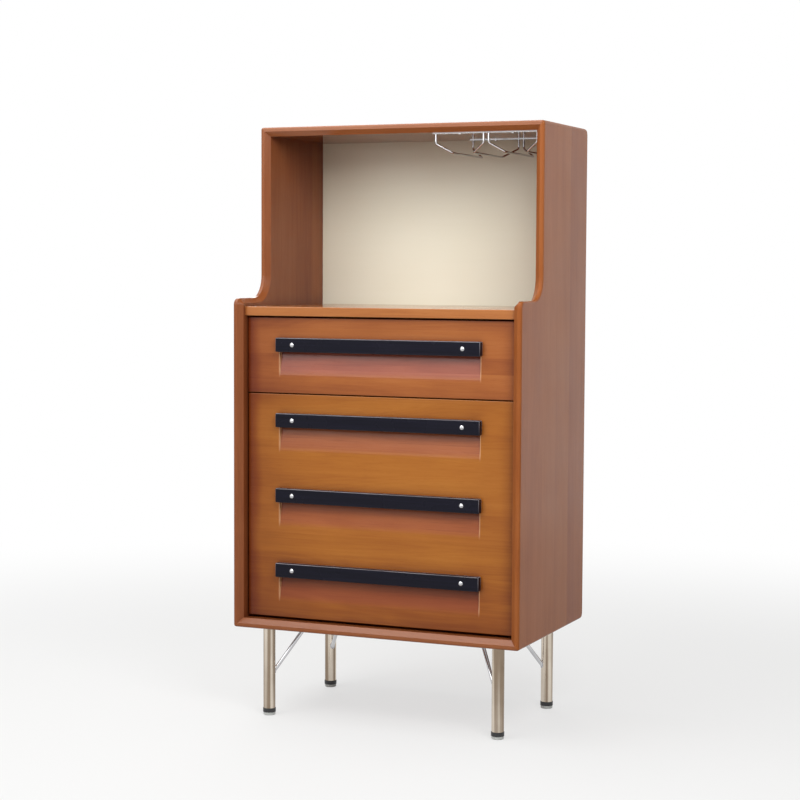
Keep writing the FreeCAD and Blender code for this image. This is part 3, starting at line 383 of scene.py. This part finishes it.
def stained_wood(node, along, across, board, seed, tint, sheen):
    """Reddish brown stain under satin lacquer."""
    stains = [
        tuple(part * share for part, share in zip(stain, tint))
        for stain in (STAIN_DARK, STAIN_MIDDLE, STAIN_LIGHT)
    ]
    dark = stains[0]
    low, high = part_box(node)
    graph = Graph(node + "_wood")
    wood = Wood(graph, along, across, board, seed)
    tones_and_shade = BOARD_TONES_AND_SHADE.get(node)
    if tones_and_shade:
        # board tones of the fronts, which on the door include painted shade, darker towards the bottom
        height = graph.span(graph.axis["z"], low[2], high[2], 0.0, 1.0)
        wood.tone = graph.ramp(height, [(place, (shade, shade, shade)) for place, shade in tones_and_shade])
    colour = wood.colour(GLUED_UP_SHARES if tones_and_shade else STAINED_SHARES, stains)
    colour = graph.dimmed(wood.hue, HUE_SHARE, colour, STAIN_HUE, "MULTIPLY")
    colour = graph.dimmed(wood.pores, STAINED_PORES, colour, dark)
    colour = graph.dimmed(wood.joint, STAINED_JOINTS, colour, dark)
    if tones_and_shade:
        milled, highlit_ends = scoop_marks(graph, low[1])
        # milled stain with a painted pinkish sheen in the scoops
        colour = graph.mix(milled, colour, STAIN_MILLED_AND_SHEEN, "MULTIPLY")
        raised = graph.math("MULTIPLY", milled, graph.span(wood.fibres, *RAISED_FIBRES, 0.0, RAISED_SHARE))
        colour = graph.mix(raised, colour, STAIN_SHADE_AND_FIBRES, "MULTIPLY")
        # darker rim and ends of the fronts, partly toner and partly painted shade
        toner_and_shade, lip_shadow = front_toner_and_shade(graph, low, high, wood.blotch)
        colour = graph.mix(toner_and_shade, colour, STAIN_TONER_AND_SHADE, "MULTIPLY")
        # painted shadow of the side panel's lip at the left end
        colour = graph.mix(lip_shadow, colour, STAIN_LIP_SHADOW, "MULTIPLY")
    colour = graph.mix(graph.edge_wear_and_highlight(node, wood.blotch, *WOOD_EDGE, STAINED_EDGE_SHARE), colour, STAIN_WORN)
    # painted shade in corners and recesses
    colour = graph.dimmed(graph.corner_shade(), CORNER_SHADE_SHARE, colour, STAIN_SHADE_AND_FIBRES, "MULTIPLY")
    # painted highlight along the ends of the scoops
    if tones_and_shade:
        colour = graph.dimmed(highlit_ends, END_HIGHLIGHT_SHARE, colour, STAIN_END_HIGHLIGHT)
    skin = graph.noise(graph.place, SKIN_SCALE, detail=1.0)
    relief = graph.total(0.5, (skin, 0.35), (wood.pores, -0.5), (wood.joint, -0.5))
    return graph.principled({
        "Base Color": colour,
        "Roughness": lacquer_roughness(graph, node, low, high),
        "Specular IOR Level": sheen,
        "Normal": graph.bump(relief, *STAINED_BUMP),
    })


def scoop_marks(graph, face):
    """Where a front is milled for the fingers, and where a painted highlight lightens the ends of those
    scoops.
    """
    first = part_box("drawer_bar_pull")[0][2]
    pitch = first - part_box("upper_door_bar_pull")[0][2]
    above = graph.math("SUBTRACT", graph.axis["z"], first)
    above = graph.math("WRAP", above, pitch / 2, -pitch / 2)
    started = graph.span(above, -SCOOP_BELOW[0], -SCOOP_BELOW[1], 0.0, 1.0)
    stopped = graph.span(above, *SCOOP_ABOVE, 1.0, 0.0)
    depth = graph.math("SUBTRACT", graph.axis["y"], face)
    near_face = graph.span(depth, *SCOOP_BEHIND, 1.0, 0.0)
    rows = graph.math("MULTIPLY", graph.math("MULTIPLY", started, stopped), near_face)
    off_end = graph.math("SUBTRACT", graph.math("ABSOLUTE", graph.axis["x"]), SCOOP_HALF_WIDTH)
    inside = graph.math("LESS_THAN", off_end, 0.0)
    at_end = graph.span(graph.math("ABSOLUTE", off_end), *SCOOP_END_HIGHLIGHT, 1.0, 0.0)
    return graph.math("MULTIPLY", rows, inside), graph.math("MULTIPLY", rows, at_end)


def front_toner_and_shade(graph, low, high, blotch):
    """Darker along the rim of a front, partly toner and partly painted shade, painted shade towards its ends,
    and the painted shadow of the side panel's lip in a band at its left end.
    """
    from_left = graph.math("SUBTRACT", graph.axis["x"], low[0])
    from_right = graph.math("SUBTRACT", high[0], graph.axis["x"])
    from_top = graph.math("SUBTRACT", high[2], graph.axis["z"])
    from_bottom = graph.math("SUBTRACT", graph.axis["z"], low[2])
    from_end = graph.math("MINIMUM", from_left, from_right)
    from_rim = graph.math("MINIMUM", from_end, graph.math("MINIMUM", from_top, from_bottom))
    ragged = graph.math("MULTIPLY_ADD", blotch, TONER_AND_SHADE_RAGGED, from_rim)
    rim = graph.span(ragged, *TONER_AND_SHADE_REACH, TONER_AND_SHADE_SHARE, 0.0)
    # painted shade towards the left and right ends
    left = graph.span(from_left, 0.0, LEFT_SHADE_REACH, LEFT_SHADE_SHARE, 0.0)
    right = graph.span(from_right, 0.0, RIGHT_SHADE_REACH, RIGHT_SHADE_SHARE, 0.0)
    toner_and_shade = graph.math("ADD", graph.math("ADD", rim, left), right)
    # painted shadow of the side panel's lip, in a band at the left end
    ragged_end = graph.math("MULTIPLY_ADD", blotch, TONER_AND_SHADE_RAGGED, from_left)
    return toner_and_shade, graph.span(ragged_end, *LIP_SHADOW_REACH, 1.0, 0.0)


def lacquer_roughness(graph, node, low, high):
    """Satin with smudges, polished where a board looks into the hutch, and matt on the top's upper face."""
    smudges = graph.noise(graph.place, SMUDGE_SCALE, detail=3.0)
    roughness = graph.span(smudges, *NOISE_MIDDLE, *SATIN)
    if node in POLISHED_FACES:
        start, end, first, last = POLISHED_FACES[node]
        polish = graph.span(graph.axis["z"], low[2] + start, low[2] + end, first, last)
        roughness = graph.math("MULTIPLY", roughness, polish)
    if node == "top_panel":
        upward = graph.span(graph.axis["z"], high[2] - MATT_DEPTH, high[2], 0.0, 1.0)
        behind = graph.span(graph.axis["y"], *(low[1] + setback for setback in MATT_SETBACK), 0.0, 1.0)
        roughness = graph.span(graph.math("MULTIPLY", upward, behind), 0.0, 1.0, roughness, MATT_ROUGHNESS)
    return roughness


def pale_wood(node, along, across, seed):
    """Finger-jointed strips under clear matt lacquer."""
    graph = Graph(node + "_pale_wood")
    wood = Wood(graph, along, across, PALE_BOARD, seed, PALE_BLOCK)
    colour = wood.colour(PALE_SHARES, (PALE_DARK, PALE_MIDDLE, PALE_LIGHT))
    colour = graph.dimmed(wood.pores, PALE_PORES, colour, PALE_DARK)
    colour = graph.dimmed(wood.joint, PALE_JOINTS, colour, PALE_DARK)
    colour = graph.mix(graph.edge_wear_and_highlight(node, wood.blotch, *WOOD_EDGE, PALE_EDGE_SHARE), colour, PALE_WORN)
    relief = graph.total(0.5, (wood.fibres, 0.3), (wood.pores, -0.6), (wood.joint, -0.5))
    return graph.principled({
        "Base Color": colour,
        "Roughness": graph.span(wood.fibres, *NOISE_MIDDLE, *PALE_ROUGHNESS),
        "Specular IOR Level": PALE_SHEEN,
        "Normal": graph.bump(relief, *PALE_BUMP),
    })


def cream_lacquer(node):
    """Cream paint with faint brush strokes, a little darker along its rim."""
    graph = Graph("cream_lacquer")
    clouds = graph.noise(graph.place, CREAM_CLOUD_SCALE, detail=3.0)
    skin = graph.noise(graph.place, CREAM_SKIN_SCALE, detail=2.0)
    strokes = graph.drawn_noise(graph.place, "x", CREAM_STROKE_SCALE, detail=3.0)
    rim = graph.span(graph.edge_distance(*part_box(node)), *CREAM_RIM, CREAM_RIM_SHARE, 0.0)
    colour = graph.mix(graph.total(0.35, (clouds, 0.7), (strokes, 0.25)), CREAM, CREAM_SHADE)
    colour = graph.mix(rim, colour, CREAM_SHADE)
    relief = graph.total(0.5, (skin, 0.6), (strokes, 0.3))
    return graph.principled({
        "Base Color": colour,
        "Roughness": graph.span(clouds, *NOISE_MIDDLE, *CREAM_ROUGHNESS),
        "Specular IOR Level": CREAM_SHEEN,
        "Normal": graph.bump(relief, *CREAM_BUMP),
    })


def black_lacquer(node):
    """Bluish black paint over wood, whose grain shows a little, with a painted grey highlight along the upper
    edges.
    """
    graph = Graph(node + "_black_lacquer")
    grain = graph.drawn_noise(graph.place, "x", BLACK_GRAIN_SCALE, detail=3.0, roughness=0.6)
    clouds = graph.noise(graph.place, BLACK_CLOUD_SCALE, detail=3.0)
    colour = graph.ramp(grain, list(zip(NOISE_MIDDLE, (BLACK_DARK, BLACK_LIGHT))))
    low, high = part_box(node)
    # painted highlight along the edges, strongest on the upper ones
    upper = graph.span(graph.axis["z"], low[2], high[2], BLACK_LOWER_HIGHLIGHT, 1.0)
    highlight = graph.edge_wear_and_highlight(node, clouds, *BLACK_HIGHLIGHT_EDGE, BLACK_HIGHLIGHT_SHARE)
    colour = graph.mix(graph.math("MULTIPLY", highlight, upper), colour, BLACK_HIGHLIGHT)
    return graph.principled({
        "Base Color": colour,
        "Roughness": graph.span(clouds, *NOISE_MIDDLE, *BLACK_ROUGHNESS),
        "Specular IOR Level": BLACK_SHEEN,
        "Normal": graph.bump(grain, *BLACK_BUMP),
    })


def metal(name, colour, shade, roughness, along, fineness, painted_reflections=0.0):
    """Plated or polished metal with faint drawing lines along one axis, and on the legs' tube wider darker
    streaks that are painted reflections.
    """
    graph = Graph(name)
    line_scale = (fineness / LINE_RATIO, fineness)
    lines = graph.drawn_noise(graph.place, along, line_scale, detail=3.0, roughness=0.6)
    clouds = graph.noise(graph.place, METAL_CLOUD_SCALE, detail=4.0)
    both = graph.total(0.5, (lines, 0.6), (clouds, 0.9))
    base = graph.mix(graph.span(both, *METAL_SHADING, 0.0, 1.0), colour, shade)
    if painted_reflections:
        # painted reflections: darker lengthwise streaks
        reflection_bands = graph.drawn_noise(graph.place, along, REFLECTION_STREAK_SCALE, detail=1.0, roughness=0.4)
        base = graph.mix(graph.span(reflection_bands, *REFLECTION_STREAK_LIMITS, painted_reflections, 0.0), base, TUBE_PAINTED_REFLECTION, "MULTIPLY")
    dulled = [roughness * share for share in METAL_ROUGHNESS_SPREAD]
    return graph.principled({
        "Base Color": base,
        "Metallic": 1.0,
        "Roughness": graph.span(both, *METAL_DULLING, *dulled),
        "Normal": graph.bump(lines, *METAL_BUMP),
    })


def plastic(name, colour, shade, roughness):
    """Moulded plastic with a fine texture."""
    graph = Graph(name)
    clouds = graph.noise(graph.place, PLASTIC_CLOUD_SCALE, detail=3.0)
    texture = graph.noise(graph.place, PLASTIC_TEXTURE_SCALE, detail=2.0)
    dulled = [roughness * share for share in PLASTIC_ROUGHNESS_SPREAD]
    return graph.principled({
        "Base Color": graph.mix(graph.span(clouds, *NOISE_MIDDLE, 0.0, 1.0), colour, shade),
        "Roughness": graph.span(clouds, *NOISE_MIDDLE, *dulled),
        "Normal": graph.bump(texture, *PLASTIC_BUMP),
    })


def dress(material, *names):
    for name in names:
        mesh = NODES[name].data
        mesh.materials.clear()
        mesh.materials.append(material)


# Boards glued up to make the two fronts: how far up each starts or ends, and how light it is there; on the
# door the boards also darken towards the bottom as painted shade
BOARD_TONES_AND_SHADE = {
    "drawer_front": (
        (0.0, 0.46), (0.25, 0.5), (0.45, 0.42), (0.53, 0.36), (0.54, 0.52), (0.9, 0.5), (1.0, 0.42),
    ),
    "door_panel": (
        (0.0, 0.27), (0.21, 0.37), (0.217, 0.46), (0.51, 0.44), (0.517, 0.5), (0.72, 0.5), (0.727, 0.54),
        (1.0, 0.56),
    ),
}

# Stained boards: direction of the grain and across the boards, board width, seed, tint and sheen
STAINED_BOARDS = {
    "left_side_panel": ("z", "y", 0.082, 3.1, (0.60, 0.54, 1.05), 0.20),
    "right_side_panel": ("z", "y", 0.082, 7.7, (0.74, 0.68, 1.2), 0.07),
    "top_panel": ("x", "y", 0.085, 1.3, (0.68, 0.63, 1.3), 0.32),
    "bottom_panel": ("x", "y", 0.085, 5.2, (0.60, 0.52, 0.85), 0.30),
    # the counter's lighter, bluer tint partly paints the light from above on its front edge
    "counter": ("x", "y", 0.085, 9.4, (0.95, 0.98, 1.6), 0.30),
    "drawer_divider": ("x", "y", 0.085, 2.6, (0.76, 0.72, 0.9), 0.20),
    "adjustable_shelf": ("x", "y", 0.085, 4.8, (0.8, 0.76, 0.95), 0.20),
    "lower_back_panel": ("z", "x", 0.095, 6.9, (0.72, 0.68, 0.85), 0.20),
    "drawer_front": ("x", "z", 0.075, 11.35, (0.90, 0.83, 1.2), 0.28),
    "door_panel": ("x", "z", 0.090, 14.6, (0.93, 0.93, 0.78), 0.24),
}

# Pale boards: direction of the grain and across the strips, and seed
PALE_BOARDS = {
    "drawer_inner_front": ("x", "z", 0.4),
    "drawer_left_side": ("y", "z", 3.3),
    "drawer_right_side": ("y", "z", 8.1),
    "drawer_back": ("x", "z", 5.9),
    "drawer_bottom": ("x", "y", 2.2),
    "board_dowels": ("x", "z", 1.7),
    "mitre_splines": ("y", "z", 6.3),
}

BARS = ("drawer_bar_pull", "upper_door_bar_pull", "middle_door_bar_pull", "lower_door_bar_pull")
LEGS = ("front_left_leg", "front_right_leg", "back_left_leg", "back_right_leg")

for name, settings in STAINED_BOARDS.items():
    dress(stained_wood(name, *settings), name)
for name, settings in PALE_BOARDS.items():
    dress(pale_wood(name, *settings), name)
for name in BARS:
    dress(black_lacquer(name), name)
dress(cream_lacquer("upper_back_panel"), "upper_back_panel")

# Metals: colour, its darker shade, roughness, direction and fineness of the drawing lines, and painted
# reflection streaks
POLISHED = metal("polished_steel", (0.74, 0.66, 0.56), (0.60, 0.52, 0.43), 0.10, "z", 500.0, 0.85)
CHROME = metal("chrome_wire", (0.66, 0.66, 0.67), (0.52, 0.52, 0.54), 0.09, "y", 700.0)
DOMED = metal("domed_steel", (0.54, 0.54, 0.55), (0.42, 0.42, 0.44), 0.11, "x", 900.0)
PLATED = metal("plated_steel", (0.64, 0.64, 0.65), (0.52, 0.53, 0.56), 0.30, "y", 600.0)
dress(POLISHED, *LEGS)
dress(CHROME, "left_rack_rails", "right_rack_rails", "rack_straps", "leg_braces", "leg_plates")
dress(DOMED, "drawer_pull_screws", "door_pull_screws")
dress(
    PLATED,
    "left_slide_outer", "left_slide_middle", "left_slide_inner",
    "right_slide_outer", "right_slide_middle", "right_slide_inner",
    "upper_hinge_cup", "lower_hinge_cup", "upper_hinge_arm", "lower_hinge_arm", "hinge_plates", "hinge_pins",
    "shelf_pins", "strike_plate", "slide_case_screws", "slide_drawer_screws", "hinge_plate_screws",
    "hinge_cup_screws", "back_panel_screws", "drawer_front_screws", "leg_screws", "rack_screws",
)

# Plastics: colour, its darker shade and roughness
BLACK_PLASTIC = plastic("black_plastic", (0.022, 0.022, 0.024), (0.014, 0.014, 0.015), 0.45)
PALE_PLASTIC = plastic("pale_plastic", (0.50, 0.51, 0.50), (0.42, 0.43, 0.41), 0.42)
dress(BLACK_PLASTIC, "foot_rings", "magnetic_catch")
dress(PALE_PLASTIC, "foot_pads")

# Cross-headed screws: sides, head, shank and tip, the head's profile in shares of its height and radius, and
# the cross in shares of the head
SCREW_SIDES = 24
SCREW_HEAD = 0.002
SCREW_SHANK = 0.0017
SCREW_TAPER = 0.004
SCREW_TIP = 0.12
SCREW_TURN = 0.9
PAN_HEAD = ((0.0, 1.0), (0.45, 1.0), (0.68, 0.96), (0.86, 0.86), (0.96, 0.72), (1.0, 0.60))
CROSS_ARM = 0.48
CROSS_HALF_WIDTH = 0.12
CROSS_DEPTH = 0.6
CROSS_TAPER = 0.62
CROSS_CORNERS = (
    (CROSS_ARM, -CROSS_HALF_WIDTH),
    (CROSS_ARM, CROSS_HALF_WIDTH),
    (CROSS_HALF_WIDTH, CROSS_HALF_WIDTH),
)
SMOOTH_ANGLE = math.radians(32.0)
SAME_POINT = 1e-6
SORTING_DIGITS = 5


def loose_parts(name):
    """Corner points of each separate solid in a node, in a settled order."""
    shape = bmesh.new()
    shape.from_mesh(NODES[name].data)
    bmesh.ops.remove_doubles(shape, verts=shape.verts[:], dist=SAME_POINT)
    parts = []
    seen = set()
    for start in shape.verts:
        if start in seen:
            continue
        part = [start]
        seen.add(start)
        for vertex in part:
            for edge in vertex.link_edges:
                other = edge.other_vert(vertex)
                if other not in seen:
                    seen.add(other)
                    part.append(other)
        parts.append([vertex.co.copy() for vertex in part])
    shape.free()
    return sorted(parts, key=lowest_corner)


def lowest_corner(part):
    return tuple(round(value, SORTING_DIGITS) for value in min(part, key=tuple))


def add_ring(shape, frame_at, radius, height):
    turns = (2.0 * math.pi * step / SCREW_SIDES for step in range(SCREW_SIDES))
    points = [Vector((radius * math.cos(turn), radius * math.sin(turn), height)) for turn in turns]
    return [shape.verts.new(frame_at @ point) for point in points]


def join_rings(shape, lower, upper):
    for step in range(len(lower)):
        after = (step + 1) % len(lower)
        shape.faces.new((lower[step], lower[after], upper[after], upper[step]))


def add_cross(shape, frame_at, radius, height, scale):
    """Outline of the cross: for each quarter turn, one arm's end and the corner after it."""
    corners = []
    for quarter in range(4):
        turn = Matrix.Rotation(quarter * math.pi / 2, 3, "Z")
        for x, y in CROSS_CORNERS:
            flat = turn @ Vector((x, y, 0.0)) * radius * scale
            corners.append(shape.verts.new(frame_at @ Vector((flat.x, flat.y, height))))
    return corners


def add_screw(shape, points, spin):
    """Pan-headed screw with a cross recess, in the place of one plain screw solid."""
    low = Vector(min(point[i] for point in points) for i in range(3))
    high = Vector(max(point[i] for point in points) for i in range(3))
    size = high - low
    axis = max(range(3), key=lambda i: size[i])
    radius = min(size) / 2
    centre = (low + high) / 2
    wide = max(points, key=lambda point: (point - centre).length - abs(point[axis] - centre[axis]))
    outward = Vector((0.0, 0.0, 0.0))
    outward[axis] = 1.0 if wide[axis] > centre[axis] else -1.0
    seat = centre + outward * (size[axis] / 2 - SCREW_HEAD)
    turn = outward.to_track_quat("Z", "Y").to_matrix().to_4x4()
    frame_at = Matrix.Translation(seat) @ turn @ Matrix.Rotation(spin, 4, "Z")
    length = size[axis] - SCREW_HEAD
    rings = [
        add_ring(shape, frame_at, SCREW_SHANK * SCREW_TIP, -length),
        add_ring(shape, frame_at, SCREW_SHANK, SCREW_TAPER - length),
        add_ring(shape, frame_at, SCREW_SHANK, 0.0),
    ]
    rings += [add_ring(shape, frame_at, share * radius, rise * SCREW_HEAD) for rise, share in PAN_HEAD]
    for lower, upper in zip(rings, rings[1:]):
        join_rings(shape, lower, upper)
    shape.faces.new(reversed(rings[0]))
    mouth = add_cross(shape, frame_at, radius, SCREW_HEAD, 1.0)
    floor = add_cross(shape, frame_at, radius, SCREW_HEAD * (1.0 - CROSS_DEPTH), CROSS_TAPER)
    top = rings[-1]
    quarter = SCREW_SIDES // 4
    beside_arm = quarter // 6
    middle = quarter // 2
    for index in range(4):
        start = index * quarter
        arm, beside, corner = mouth[3 * index:3 * index + 3]
        following = mouth[(3 * index + 3) % len(mouth)]
        spans = (
            (start - beside_arm, start + beside_arm, beside, arm),
            (start + beside_arm, start + middle, corner, beside),
            (start + middle, start + quarter - beside_arm, following, corner),
        )
        for first, last, one, other in spans:
            rim = [top[step % SCREW_SIDES] for step in range(first, last + 1)]
            shape.faces.new(rim + [one, other])
    join_rings(shape, mouth, floor)
    shape.faces.new(floor)


def make_piece(name, shape, material, body):
    """Object from a finished shape, riding on a body."""
    bmesh.ops.recalc_face_normals(shape, faces=shape.faces[:])
    mesh = bpy.data.meshes.new(name)
    shape.to_mesh(mesh)
    shape.free()
    mesh.shade_smooth()
    mesh.set_sharp_from_angle(angle=SMOOTH_ANGLE)
    mesh.materials.append(material)
    piece = bpy.data.objects.new(name, mesh)
    bpy.context.scene.collection.objects.link(piece)
    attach(piece, body)
    return piece


for node, body, material, slot in (
    ("back_panel_screws", "cabinet", PLATED, "plated_steel"),
    ("leg_screws", "cabinet", PLATED, "plated_steel"),
    ("rack_screws", "cabinet", CHROME, "chrome_wire"),
    ("hinge_plate_screws", "cabinet", PLATED, "plated_steel"),
    ("hinge_cup_screws", "door", PLATED, "plated_steel"),
    ("slide_drawer_screws", "drawer", PLATED, "plated_steel"),
    ("drawer_front_screws", "drawer", PLATED, "plated_steel"),
):
    screws = bmesh.new()
    for order, points in enumerate(loose_parts(node)):
        add_screw(screws, points, SCREW_TURN * order)
    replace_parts(make_piece(node + "_cross_headed", screws, material, body), node)

# Weld beads round the ends of the legs' braces and tubes
LEG_RADIUS = 0.012
BRACE_RADIUS = 0.004
BRACE_REACH = 0.056
BRACE_FOOT = 0.075
PLATE_UNDERSIDE = 0.176
BEAD_RADIUS = 0.0013
BEAD_STEPS = 72
BEAD_SIDES = 8
BEAD_RIPPLES = 18
BEAD_RIPPLE = 0.16


def add_bead(shape, path):
    """Rippled closed ring of weld along a path of (point, outward direction)."""
    rings = []
    count = len(path)
    for step, (point, outward) in enumerate(path):
        along = (path[(step + 1) % count][0] - path[step - 1][0]).normalized()
        outward = (outward - along * outward.dot(along)).normalized()
        side = along.cross(outward)
        radius = BEAD_RADIUS * (1.0 + BEAD_RIPPLE * math.sin(2.0 * math.pi * BEAD_RIPPLES * step / count))
        turns = (2.0 * math.pi * turn / BEAD_SIDES for turn in range(BEAD_SIDES))
        spokes = [radius * (math.cos(a) * outward + math.sin(a) * side) for a in turns]
        rings.append([shape.verts.new(point + spoke) for spoke in spokes])
    for step in range(count):
        join_rings(shape, rings[step], rings[(step + 1) % count])


def weld_paths(leg_box):
    """Seams of one leg: brace to tube, brace to plate and tube to plate."""
    low, high = leg_box
    foot = Vector(((low.x + high.x) / 2, (low.y + high.y) / 2, BRACE_FOOT))
    inward = Vector((-math.copysign(BRACE_REACH, foot.x), -math.copysign(BRACE_REACH, foot.y), 0.0))
    brace = (inward + Vector((0.0, 0.0, PLATE_UNDERSIDE - BRACE_FOOT))).normalized()
    level = inward.normalized()
    across = Vector((-level.y, level.x, 0.0))
    over = brace.cross(across)
    seams = ([], [], [])
    for step in range(BEAD_STEPS):
        angle = 2.0 * math.pi * step / BEAD_STEPS
        spoke = BRACE_RADIUS * (math.cos(angle) * across + math.sin(angle) * over)
        to_tube = math.sqrt(LEG_RADIUS ** 2 - spoke.dot(across) ** 2)
        tube_run = (to_tube - spoke.dot(level)) / brace.dot(level)
        plate_run = (PLATE_UNDERSIDE - BRACE_FOOT - spoke.z) / brace.z
        seams[0].append((foot + spoke + brace * tube_run, spoke.normalized()))
        seams[1].append((foot + spoke + brace * plate_run, spoke.normalized()))
        round_tube = Vector((math.cos(angle), math.sin(angle), 0.0))
        seams[2].append((Vector((foot.x, foot.y, PLATE_UNDERSIDE)) + LEG_RADIUS * round_tube, round_tube))
    return seams


welds = bmesh.new()
for name in LEGS:
    for seam in weld_paths(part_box(name)):
        add_bead(welds, seam)
make_piece("weld_beads", welds, CHROME, "cabinet")


# Floor, world, light and camera

def make_floor():
    """Pale floor that keeps the object's shadow and turns white further off."""
    shape = bmesh.new()
    bmesh.ops.create_grid(shape, x_segments=1, y_segments=1, size=FLOOR_SIZE / 2)
    mesh = bpy.data.meshes.new("floor")
    shape.to_mesh(mesh)
    shape.free()
    floor = bpy.data.objects.new("floor", mesh)
    floor.location.z = FLOOR_LEVEL
    bpy.context.scene.collection.objects.link(floor)
    graph = Graph("pale_floor")
    paint = graph.add("ShaderNodeBsdfDiffuse", {"Color": FLOOR_COLOUR})
    glow = graph.add("ShaderNodeEmission", {"Color": WHITE, "Strength": 1.0})
    reach = graph.add("ShaderNodeVectorMath", {0: graph.place}, operation="LENGTH").outputs["Value"]
    whiteness = graph.span(reach, FLOOR_NEAR, FLOOR_FAR, FLOOR_WHITENING, 1.0)
    seen = graph.add("ShaderNodeLightPath").outputs
    mirrored = graph.math("MAXIMUM", seen["Is Glossy Ray"], seen["Is Transmission Ray"])
    share = graph.math("MULTIPLY", graph.math("MAXIMUM", seen["Is Camera Ray"], mirrored), whiteness)
    mixed = graph.add("ShaderNodeMixShader", {0: share, 1: paint.outputs[0], 2: glow.outputs[0]})
    mesh.materials.append(graph.surface(mixed))


def make_world():
    """White surroundings to look at or see mirrored, which light the object more dimly."""
    world = bpy.data.worlds.new("studio")
    world.use_nodes = True
    tree = world.node_tree
    tree.nodes.clear()
    output = tree.nodes.new("ShaderNodeOutputWorld")
    background = tree.nodes.new("ShaderNodeBackground")
    background.inputs["Color"].default_value = WHITE
    strength = tree.nodes.new("ShaderNodeMapRange")
    strength.inputs["To Min"].default_value = AMBIENT
    strength.inputs["To Max"].default_value = 1.0
    seen = tree.nodes.new("ShaderNodeLightPath").outputs
    mirrored = tree.nodes.new("ShaderNodeMath")
    mirrored.operation = "MAXIMUM"
    tree.links.new(seen["Is Glossy Ray"], mirrored.inputs[0])
    tree.links.new(seen["Is Transmission Ray"], mirrored.inputs[1])
    either = tree.nodes.new("ShaderNodeMath")
    either.operation = "MAXIMUM"
    tree.links.new(seen["Is Camera Ray"], either.inputs[0])
    tree.links.new(mirrored.outputs[0], either.inputs[1])
    tree.links.new(either.outputs[0], strength.inputs["Value"])
    tree.links.new(strength.outputs["Result"], background.inputs["Strength"])
    tree.links.new(background.outputs[0], output.inputs["Surface"])
    bpy.context.scene.world = world


def make_soft_box(name, place, aim, width, height, power):
    lamp = bpy.data.lights.new(name, "AREA")
    lamp.shape = "RECTANGLE"
    lamp.size = width
    lamp.size_y = height
    lamp.energy = power
    light = bpy.data.objects.new(name, lamp)
    light.visible_camera = False
    light.location = place
    light.rotation_euler = (Vector(aim) - Vector(place)).to_track_quat("-Z", "Y").to_euler()
    bpy.context.scene.collection.objects.link(light)


def make_camera():
    data = bpy.data.cameras.new("camera")
    data.lens = CAMERA_LENS
    data.sensor_width = SENSOR_WIDTH
    camera = bpy.data.objects.new("camera", data)
    turn = Matrix.Rotation(math.radians(CAMERA_YAW), 4, "Z")
    tilt = Matrix.Rotation(math.radians(90.0 - CAMERA_PITCH), 4, "X")
    roll = Matrix.Rotation(math.radians(CAMERA_ROLL), 4, "Z")
    camera.matrix_world = Matrix.Translation(CAMERA_PLACE) @ turn @ tilt @ roll
    bpy.context.scene.collection.objects.link(camera)
    bpy.context.scene.camera = camera


make_floor()
make_world()
for name, settings in SOFT_BOXES.items():
    make_soft_box(name, *settings)
make_camera()
bpy.context.scene.view_settings.view_transform = "Standard"
